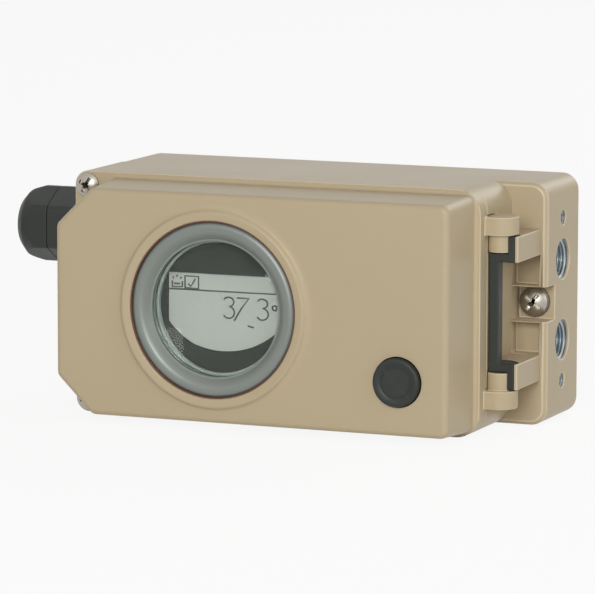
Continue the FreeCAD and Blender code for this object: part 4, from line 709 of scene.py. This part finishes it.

# The rubber's lighter edge highlight tone on convex edges is a painted highlight.
gasket_rubber = finish(
    "black_rubber",
    grain,
    {"Tone": (0.028, 0.029, 0.028, 1), "Dark tone": (0.018, 0.019, 0.019, 1), "Edge highlight tone": (0.05, 0.05, 0.05, 1),
     "Grain size": 1600.0, "Smooth": 0.55, "Rough": 0.75, "Rub": 0.4},
    0.00002,
)
for gasket_name, level in (("front_glass_gasket", -78.32), ("rear_glass_gasket", -75.02)):
    gasket_profile = arc(22.05, level, 0.16, 0, 330, 9)
    kept(gasket_name, lathe(window_centre, gasket_profile), [gasket_rubber], "cover", "rubber")
aluminium = finish(
    "machined_aluminium",
    brushed,
    {"Tone": (0.72, 0.73, 0.74, 1), "Dark tone": (0.6, 0.61, 0.62, 1), "Stretch": (0.15, 1.0, 1.0),
     "Grain size": 1100.0, "Smooth": 0.26, "Rough": 0.44},
    0.000005,
    {"Metallic": 1.0},
)
formed("window_retainer", aluminium, 0.15)
seat_step = [
    (21.75, -75.0), (20.95, -75.0), (20.8, -74.85), (20.8, -74.3), (21.3, -74.1), (21.3, -73.5), (20.9, -73.3),
    (20.9, -72.9), (21.75, -72.9),
]
kept("glass_seat_step", lathe(window_centre, seat_step), [anodised], "cover", "window_profile")

# Retainer screws: four zinc-plated steel pan heads with rolled threads. They clamp the retainer behind
# the window ring, and face the inside of the casing.
clamp_level, clamp_circle = -71.0, 31.2
clamp_seats = [
    (window_centre[0] + clamp_circle * math.cos(turn), clamp_level, window_centre[2] + clamp_circle * math.sin(turn))
    for turn in (math.radians(degrees) for degrees in (45, 135, 225, 315))
]
back_facing = grown(
    cross_head, [(-across, -level, high) for across, level, high in clamp_seats], [0, 20, 50, 75],
    Head_radius=1.8 * MM, Head_rise=1.3 * MM, Shank_radius=1.0 * MM, Shank_length=5.0 * MM, Pitch=0.4 * MM,
    Metal=zinc,
)
back_facing.transform(Matrix.Rotation(math.pi, 4, "Z"))
kept("retainer_screw_set", back_facing, [zinc], "cover", "zinc_steel", "retainer_screws")

# Cover gasket and screw clips: a round rubber cord laid in the cover's groove, and two clips of black
# nylon that keep the loosened screws in the cover.
gasket_frame, gasket_round = formed("cover_gasket", gasket_rubber, 0.35), 7.5 * MM
for vertex in gasket_frame.data.vertices:
    reach = Vector((vertex.co.x, abs(vertex.co.z))) - flange_corner * MM
    if min(reach) > 0 and reach.length > gasket_round:
        reach.length = gasket_round
        vertex.co.x = flange_corner.x * MM + reach.x
        vertex.co.z = math.copysign(flange_corner.y * MM + reach.y, vertex.co.z)
# The nylon's lighter edge highlight tone on convex edges is a painted highlight.
black_nylon = finish(
    "black_nylon",
    grain,
    {"Tone": (0.0195, 0.0235, 0.0195, 1), "Dark tone": (0.0135, 0.0165, 0.0135, 1), "Edge highlight tone": (0.05, 0.056, 0.05, 1),
     "Grain size": 1500.0, "Patch size": 60.0, "Smooth": 0.42, "Rough": 0.54, "Rub": 0.35},
    0.000012,
    {"Specular IOR Level": 0.4},
)
formed("screw_clips", black_nylon, 0.12)

# Knob: a black nylon button with a softly rounded rim and a faint moulded ring and dash on its face.
# Its steel shaft turns a magnet over a sensor, and its keyed bronze sleeve lets it be pressed as well.
knob_axis, dash_level, spring_level = Vector((45.2, 0, -19.6)), Vector((0, -82.6, 0)), Vector((0, -74.95, 0))
knob_profile = (
    [(0, -82.55), (4.6, -82.55), (4.75, -82.42), (5.0, -82.42), (5.15, -82.55)]
    + arc(6.95, -81.85, 0.82, 270, 350, 8)
    + [(7.78, -80.6), (7.78, -77.4), (7.45, -76.6), (2.4, -76.6), (2.4, -76.9), (0, -76.9)]
)
kept("knob_cap", lathe(knob_axis, knob_profile, 96), [black_nylon], "knob", "black_plastic", "knob")
dash_work = bmesh.new()
dash_turn = Matrix.Translation((knob_axis + dash_level) * MM) @ Matrix.Rotation(math.radians(-35), 4, "Y")
bmesh.ops.create_cube(dash_work, size=1.0, matrix=dash_turn @ Matrix.Diagonal((5.2 * MM, 0.3 * MM, 0.7 * MM, 1)))
bmesh.ops.bevel(dash_work, geom=dash_work.edges[:], offset=0.12 * MM, segments=2, affect="EDGES", profile=0.5)
kept("knob_index_dash", meshed(dash_work, "knob_dash"), [black_nylon], "knob", "black_plastic")

bronze = finish(
    "turned_bronze",
    brushed,
    {"Tone": (0.6, 0.42, 0.22, 1), "Dark tone": (0.42, 0.28, 0.14, 1), "Grain size": 1400.0,
     "Smooth": 0.24, "Rough": 0.4},
    0.000005,
    {"Metallic": 1.0},
)
formed("knob_shaft", stainless, 0.2)
formed("knob_sleeve", bronze, 0.2)
formed("knob_clip", zinc, 0.1)
formed("knob_magnet", blackened, 0.2)
formed("knob_seal", gasket_rubber, 0.3)

wave = Tree("wave_spring", Radius="Float", Wire="Float", Rise="Float", Turns="Float", Metal="Material")
wave_radius, wire, rise, coils = (wave.given[label] for label in ("Radius", "Wire", "Rise", "Turns"))
coil_line = wave.add(
    "GeometryNodeCurveSpiral", Resolution=48, Rotations=coils, Start_Radius=wave_radius, End_Radius=wave_radius,
    Height=rise,
)
coil_wire = wave.add("GeometryNodeCurvePrimitiveCircle", Resolution=10, Radius=wire)
coil_solid = wave.add("GeometryNodeCurveToMesh", Curve=coil_line, Profile_Curve=coil_wire, Fill_Caps=True)
coil_solid = wave.add("GeometryNodeTransform", Geometry=coil_solid, Rotation=(math.radians(90), 0, 0))
on_shaft = wave.add("GeometryNodeInstanceOnPoints", Points=wave.given["Seats"], Instance=coil_solid)
wave_spring = wave.close(on_shaft, wave.given["Metal"])
spring_mesh = grown(
    wave_spring, [knob_axis + spring_level], Radius=7.0 * MM, Wire=0.24 * MM, Rise=1.24 * MM, Turns=2.5, Metal=stainless
)
return_spring = kept("knob_return_spring", spring_mesh, [stainless], "cover", "stainless", "knob_spring")
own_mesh(return_spring)

# Hinge strip: one black nylon moulding with a spine and two open jaws, held between the casing and its
# hinge arms. The cover's two trunnions turn in the jaws.
formed("hinge_strip", black_nylon, 0.35)

# Gland: a black nylon M20 body with a hexagon, a fluted dome nut, a rubber seal and a flat gasket.
# It enters the boss in the left wall, and no cable is in it.
formed("gland_body", black_nylon, 0.4)
formed("gland_gasket", gasket_rubber, 0.3)
formed("gland_cap", black_nylon, 0.5)
formed("gland_seal", gasket_rubber, 0.4)

# Vent: a moulded black nylon plug in the back wall. A filter disc of sintered bronze is set in it, which
# lets spent air out and keeps dirt out.
formed("vent_plug", black_nylon, 0.25)
# The filter's lighter edge highlight tone on convex edges is a painted highlight.
sintered = finish(
    "sintered_bronze",
    grain,
    {"Tone": (0.5, 0.35, 0.18, 1), "Dark tone": (0.3, 0.2, 0.1, 1), "Edge highlight tone": (0.6, 0.44, 0.24, 1),
     "Grain size": 2600.0, "Patch size": 300.0, "Smooth": 0.5, "Rough": 0.7, "Rub": 0.3},
    0.00008,
    {"Metallic": 0.9},
)
formed("vent_filter", sintered, 0.2)

# Feedback: a ground stainless shaft in a bronze bush, with a sector gear inside and a lever outside
# whose pin follows the valve's stem. A washer and a nut hold the lever.
formed("feedback_shaft", stainless, 0.25)
formed("shaft_bush", bronze, 0.2)
formed("shaft_seal", gasket_rubber, 0.3)
formed("sector_gear", bronze, 0.12)
formed("gear_clip", zinc, 0.1)
brushed_steel = finish(
    "brushed_stainless",
    brushed,
    {"Tone": (0.6, 0.6, 0.59, 1), "Dark tone": (0.47, 0.47, 0.46, 1), "Stretch": (0.08, 1.0, 1.0), "Grain size": 1800.0,
     "Smooth": 0.24, "Rough": 0.42},
    0.000008,
    {"Metallic": 1.0},
)
formed("feedback_lever", brushed_steel, 0.3)
formed("lever_washer", stainless, 0.2)
formed("lever_nut", stainless, 0.3)
formed("follower_pin", stainless, 0.3)

# Mounting plate: a zinc-plated sheet, laser cut and fixed with four pan-head screws, which carries
# the electronics over the air parts.
formed("mounting_plate", zinc, 0.2)
plate_heads = grown(
    cross_head, [(48.8, -37.5, 28), (48.8, -37.5, -28), (-49, -37.5, 28), (-49, -37.5, -28)], [10, 35, 60, 80],
    Head_radius=2.8 * MM, Head_rise=1.8 * MM, Shank_radius=1.5 * MM, Shank_length=9.0 * MM, Pitch=0.5 * MM, Metal=zinc,
)
kept("plate_screw_set", plate_heads, [zinc], "body", "zinc_steel", "plate_screws")
# The moulding's lighter edge highlight tone on convex edges is a painted highlight.
dark_plastic = finish(
    "dark_moulding",
    grain,
    {"Tone": (0.06, 0.066, 0.064, 1), "Dark tone": (0.045, 0.05, 0.049, 1), "Edge highlight tone": (0.11, 0.115, 0.11, 1),
     "Grain size": 1200.0, "Smooth": 0.42, "Rough": 0.56, "Rub": 0.5},
    0.00002,
)
formed("insulator_sheet", dark_plastic, None)

# Circuit boards: green glass-epoxy sheets. The main board lies behind the module, and the small one
# stands on bronze posts behind the knob, with a sensor and three soldered chips.
# The tan edge highlight tone on convex edges is partly the board's own pale glass-epoxy edge and partly a painted
# highlight.
board_green = finish(
    "board_green",
    grain,
    {"Tone": (0.02, 0.13, 0.06, 1), "Dark tone": (0.012, 0.095, 0.045, 1), "Edge highlight tone": (0.3, 0.28, 0.14, 1),
     "Grain size": 700.0, "Patch size": 160.0, "Smooth": 0.25, "Rough": 0.4, "Rub": 0.5},
    0.000015,
    {"Coat Weight": 0.3},
)
formed("main_board", board_green, None)
formed("sensor_board", board_green, None)
formed("sensor_posts", bronze, 0.25)
formed("knob_sensor", dark_plastic, 0.2)

chips = Tree("soldered_chips", Width="Float", Rise="Float", Legs="Int", Metal="Material")
chip_width, chip_rise, legs = (chips.given[label] for label in ("Width", "Rise", "Legs"))
chip = chips.add("GeometryNodeMeshCube", Size=chips.vector(chip_width, chip_rise, chips.times(chip_width, 0.7)))
leg_pitch = chips.sum("DIVIDE", chip_width, chips.sum("ADD", legs, 1.0))
leg_size = chips.vector(chips.times(leg_pitch, 0.5), chips.times(chip_rise, 0.3), chips.times(chip_width, 0.95))
leg = chips.add("GeometryNodeMeshCube", Size=leg_size)
leg_row = chips.add(
    "GeometryNodeMeshLine", {"mode": "OFFSET"}, Count=legs,
    Start_Location=chips.vector(chips.times(chip_width, -0.37)), Offset=chips.vector(leg_pitch),
)
leg_set = chips.add("GeometryNodeInstanceOnPoints", Points=leg_row, Instance=leg)
chip_whole = chips.add("GeometryNodeJoinGeometry", Geometry=[chip, leg_set])
chip_set = chips.add("GeometryNodeInstanceOnPoints", Points=chips.given["Seats"], Instance=chip_whole)
soldered_chips = chips.close(chip_set, chips.given["Metal"])
sensor_chips = grown(
    soldered_chips, [(38.6, -59.95, -14.2), (38.6, -59.95, -25.2), (51.6, -59.95, -19.0)], Width=2.8 * MM,
    Rise=0.7 * MM, Legs=4, Metal=dark_plastic,
)
kept("sensor_board_chips", sensor_chips, [dark_plastic], "body", "dark_plastic")

# Electronics module: a dark potted moulding screwed to the plate with four zinc-plated pan heads. A
# raised round part comes up to the window, with a row of moulded ribs beside it.
formed("electronics_module", dark_plastic, 0.5)
module_heads = grown(
    cross_head, [(-40.5, -65.6, 27), (-40.5, -65.6, -27), (24, -65.6, 27), (24, -65.6, -27)], [5, 40, 65, 85],
    Head_radius=2.4 * MM, Head_rise=1.5 * MM, Shank_radius=1.25 * MM, Shank_length=8.0 * MM, Pitch=0.45 * MM,
    Metal=zinc,
)
kept("module_screw_set", module_heads, [zinc], "body", "zinc_steel", "module_screws")
slats = Tree("moulded_ribs", Count="Int", Pitch="Float", Width="Float", Rise="Float", Length="Float", Metal="Material")
count, rib_pitch, rib_width, rib_rise, rib_length = (
    slats.given[label] for label in ("Count", "Pitch", "Width", "Rise", "Length")
)
rib = slats.add("GeometryNodeMeshCube", Size=slats.vector(rib_length, rib_rise, rib_width))
rib_row = slats.add("GeometryNodeMeshLine", {"mode": "OFFSET"}, Count=count, Offset=slats.vector(z=rib_pitch))
rib_set = slats.add("GeometryNodeInstanceOnPoints", Points=rib_row, Instance=rib)
rib_set = slats.add("GeometryNodeRealizeInstances", Geometry=rib_set)
placed_ribs = slats.add("GeometryNodeInstanceOnPoints", Points=slats.given["Seats"], Instance=rib_set)
moulded_ribs = slats.close(placed_ribs, slats.given["Metal"])


def ribbed(name, seat, coat, slot, **sizes):
    """A row of moulded ribs on a piece of the body."""
    kept(name, grown(moulded_ribs, [seat], Metal=coat, **sizes), [coat], "body", slot)


ribbed(
    "module_front_ribs", (14.5, -65.65, -12.0), dark_plastic, "dark_plastic", Count=9, Pitch=2.2 * MM,
    Width=0.9 * MM, Rise=0.7 * MM, Length=7.0 * MM,
)

# Display: a grey-green reflective liquid crystal panel behind a dark printed mask that frames it
# with a straight top and a round bottom. Its plain figures and icons are thin dark segments.
# The mask's lighter edge highlight tone on convex edges is a painted highlight.
mask_plastic = finish(
    "display_mask",
    grain,
    {"Tone": (0.019, 0.02, 0.015, 1), "Dark tone": (0.015, 0.016, 0.012, 1), "Edge highlight tone": (0.03, 0.033, 0.028, 1),
     "Grain size": 1600.0, "Smooth": 0.55, "Rough": 0.65, "Rub": 0.2},
    0.000006,
    {"Specular IOR Level": 0.3},
)
formed("display_bezel", mask_plastic, 0.25)
panel_grey = finish(
    "display_panel",
    grain,
    {"Tone": (0.29, 0.288, 0.268, 1), "Dark tone": (0.268, 0.266, 0.246, 1), "Grain size": 900.0, "Patch size": 60.0,
     "Smooth": 0.5, "Rough": 0.6, "Rub": 0.0},
    0.000003,
    {"Specular IOR Level": 0.25},
)
formed("lcd_panel", panel_grey, None)

left_edge, right_edge, top_edge, top_steps, arc_steps = -36.1, 2.4, 9.9, 16, 40
arc_centre, arc_radius, mask_radius = (-16.8, 9.5), 24.5, 21.6
mask_front, hole_back, rim_back_level = -72.62, -72.05, -72.3
top_width = right_edge - left_edge
hole_loop = [(left_edge + top_width * step / top_steps, top_edge) for step in range(top_steps + 1)]
first_angle = -math.acos((right_edge - arc_centre[0]) / arc_radius)
last_angle = -math.pi + math.acos((arc_centre[0] - left_edge) / arc_radius)
for step in range(arc_steps + 1):
    angle = first_angle + (last_angle - first_angle) * step / arc_steps
    hole_loop.append((arc_centre[0] + arc_radius * math.cos(angle), arc_centre[1] + arc_radius * math.sin(angle)))
frame_loop, window_middle = [], Vector((window_centre[0], window_centre[2]))
for point in hole_loop:
    away = Vector(point) - window_middle
    away.length = mask_radius
    frame_loop.append(away + window_middle)
mask_work = bmesh.new()
rounds = [
    [mask_work.verts.new(Vector((x, level, z)) * MM) for x, z in loop]
    for loop, level in (
        (hole_loop, mask_front), (frame_loop, mask_front), (frame_loop, rim_back_level), (hole_loop, hole_back),
    )
]
bridged(mask_work, rounds, rounds[1:] + rounds[:1])
bmesh.ops.recalc_face_normals(mask_work, faces=mask_work.faces)
kept("printed_display_mask", meshed(mask_work, "printed_mask"), [mask_plastic], "body", "mask_plastic")

segment_ink = finish(
    "display_segments",
    grain,
    {"Tone": (0.03, 0.036, 0.032, 1), "Dark tone": (0.05, 0.06, 0.052, 1), "Grain size": 900.0, "Patch size": 500.0,
     "Smooth": 0.5, "Rough": 0.6, "Rub": 0.0},
    0.000002,
)
figures = Tree("display_figures", Stroke="Float", Metal="Material")
lines = figures.add("GeometryNodeMeshToCurve", Mesh=figures.given["Seats"])
nib = figures.add("GeometryNodeCurvePrimitiveCircle", Resolution=6, Radius=figures.times(figures.given["Stroke"], 0.5))
figure_strokes = figures.add("GeometryNodeCurveToMesh", Curve=lines, Profile_Curve=nib, Fill_Caps=True)
display_figures = figures.close(figure_strokes, figures.given["Metal"])


def bow(centre, across, high, start, end, count=14):
    """Points on an arc of an oval on the panel, between two angles in degrees."""
    angles = [math.radians(start + (end - start) * index / count) for index in range(count + 1)]
    return [(centre[0] + across * math.cos(angle), centre[1] + high * math.sin(angle)) for angle in angles]


def three(left):
    """The figure three as two open bows, drawn from its left edge."""
    return [bow((left + 1.9, 1.35), 1.75, 1.45, 150, -80), bow((left + 1.9, -1.95), 1.95, 1.85, 85, -150)]


# After the two threes: the seven, the dash, the degree ring, the rule, the ticked box and the tray with dots.
figure_level = -72.03
strokes_drawn = three(-17.8) + three(-6.5) + [
    [(-13.0, 2.75), (-9.1, 2.75), (-11.8, -0.8), (-14.0, -4.5)],
    [(-9.4, -5.9), (-7.5, -6.3)],
    bow((-0.5, 0.2), 0.75, 0.75, 0, 350),
    [(-36.0, 4.5), (-0.2, 4.5), (-0.2, 5.4)],
    [(-30.7, 4.9), (-30.7, 8.7), (-26.1, 8.7), (-26.1, 4.9), (-30.7, 4.9)],
    [(-29.5, 6.3), (-28.7, 5.5), (-27.2, 7.9)],
    [(-35.0, 7.0), (-35.0, 5.2), (-31.6, 5.2), (-31.6, 7.0)], [(-34.3, 6.2), (-32.3, 6.2)],
    *(bow(dot, 0.14, 0.14, 0, 300, 5) for dot in ((-34.6, 8.0), (-33.3, 8.6), (-32.0, 8.0))),
]
drawn, runs = [], []
for stroke in strokes_drawn:
    for index, (across, high) in enumerate(stroke):
        if index:
            runs.append((len(drawn) - 1, len(drawn)))
        drawn.append((across, figure_level, high))
figure_mesh = grown(display_figures, drawn, runs=runs, Stroke=0.54 * MM, Metal=segment_ink)
kept("display_figure_segments", figure_mesh, [segment_ink], "body", "display")

# Terminal block: moulded grey-green nylon with four wire cages, parted by thin ribs. Each cage has a
# slotted screw of zinc-plated steel.
# The block's lighter edge highlight tone on convex edges is a painted highlight.
terminal_nylon = finish(
    "terminal_nylon",
    grain,
    {"Tone": (0.16, 0.24, 0.2, 1), "Dark tone": (0.13, 0.2, 0.165, 1), "Edge highlight tone": (0.24, 0.32, 0.28, 1),
     "Grain size": 1300.0, "Smooth": 0.4, "Rough": 0.52, "Rub": 0.5},
    0.000015,
)
formed("terminal_block", terminal_nylon, 0.3)
formed("terminal_screws", zinc, 0.12)
cage_pitch, block_foot = 5.375, -27.0
ribbed(
    "terminal_dividing_ribs", (-60.75, -50.45, block_foot + cage_pitch), terminal_nylon, "terminal_plastic",
    Count=3, Pitch=cage_pitch * MM, Width=0.6 * MM, Rise=0.5 * MM, Length=9.6 * MM,
)

# Option module: a dark plastic moulding for position contacts, plugged in beside the electronics, with
# finger ribs moulded on its front.
formed("option_module", dark_plastic, 0.5)
ribbed(
    "option_module_ribs", (42.5, -53.55, 4.5), dark_plastic, "dark_plastic", Count=8, Pitch=2.0 * MM,
    Width=0.9 * MM, Rise=0.7 * MM, Length=15.0 * MM,
)

# Position sensor: a dark conductive-plastic potentiometer on the back of the mounting plate. Its bronze
# pinion meshes with the sector gear on the feedback shaft.
formed("position_sensor", dark_plastic, 0.4)
formed("sensor_pinion", bronze, 0.12)

# Air parts: the current-to-pressure converter, the regulator and the booster are machined aluminium
# blocks bolted to the plate's back, and rubber seals join the booster to the ports.
formed("ip_converter", aluminium, 0.4)
formed("pressure_regulator", aluminium, 0.4)
formed("booster", aluminium, 0.4)
formed("port_seals", gasket_rubber, 0.3)

# Initialising button and volume switch: pale nylon keys on the module, pressed and slid by hand
# with the cover open.
# The keys' lighter edge highlight tone on convex edges is a painted highlight.
key_nylon = finish(
    "pale_key_nylon",
    grain,
    {"Tone": (0.62, 0.6, 0.54, 1), "Dark tone": (0.55, 0.53, 0.47, 1), "Edge highlight tone": (0.7, 0.68, 0.62, 1),
     "Grain size": 1500.0, "Smooth": 0.34, "Rough": 0.46, "Rub": 0.4},
    0.000008,
)
formed("init_button", key_nylon, 0.25)
formed("switch_slider", key_nylon, 0.2)
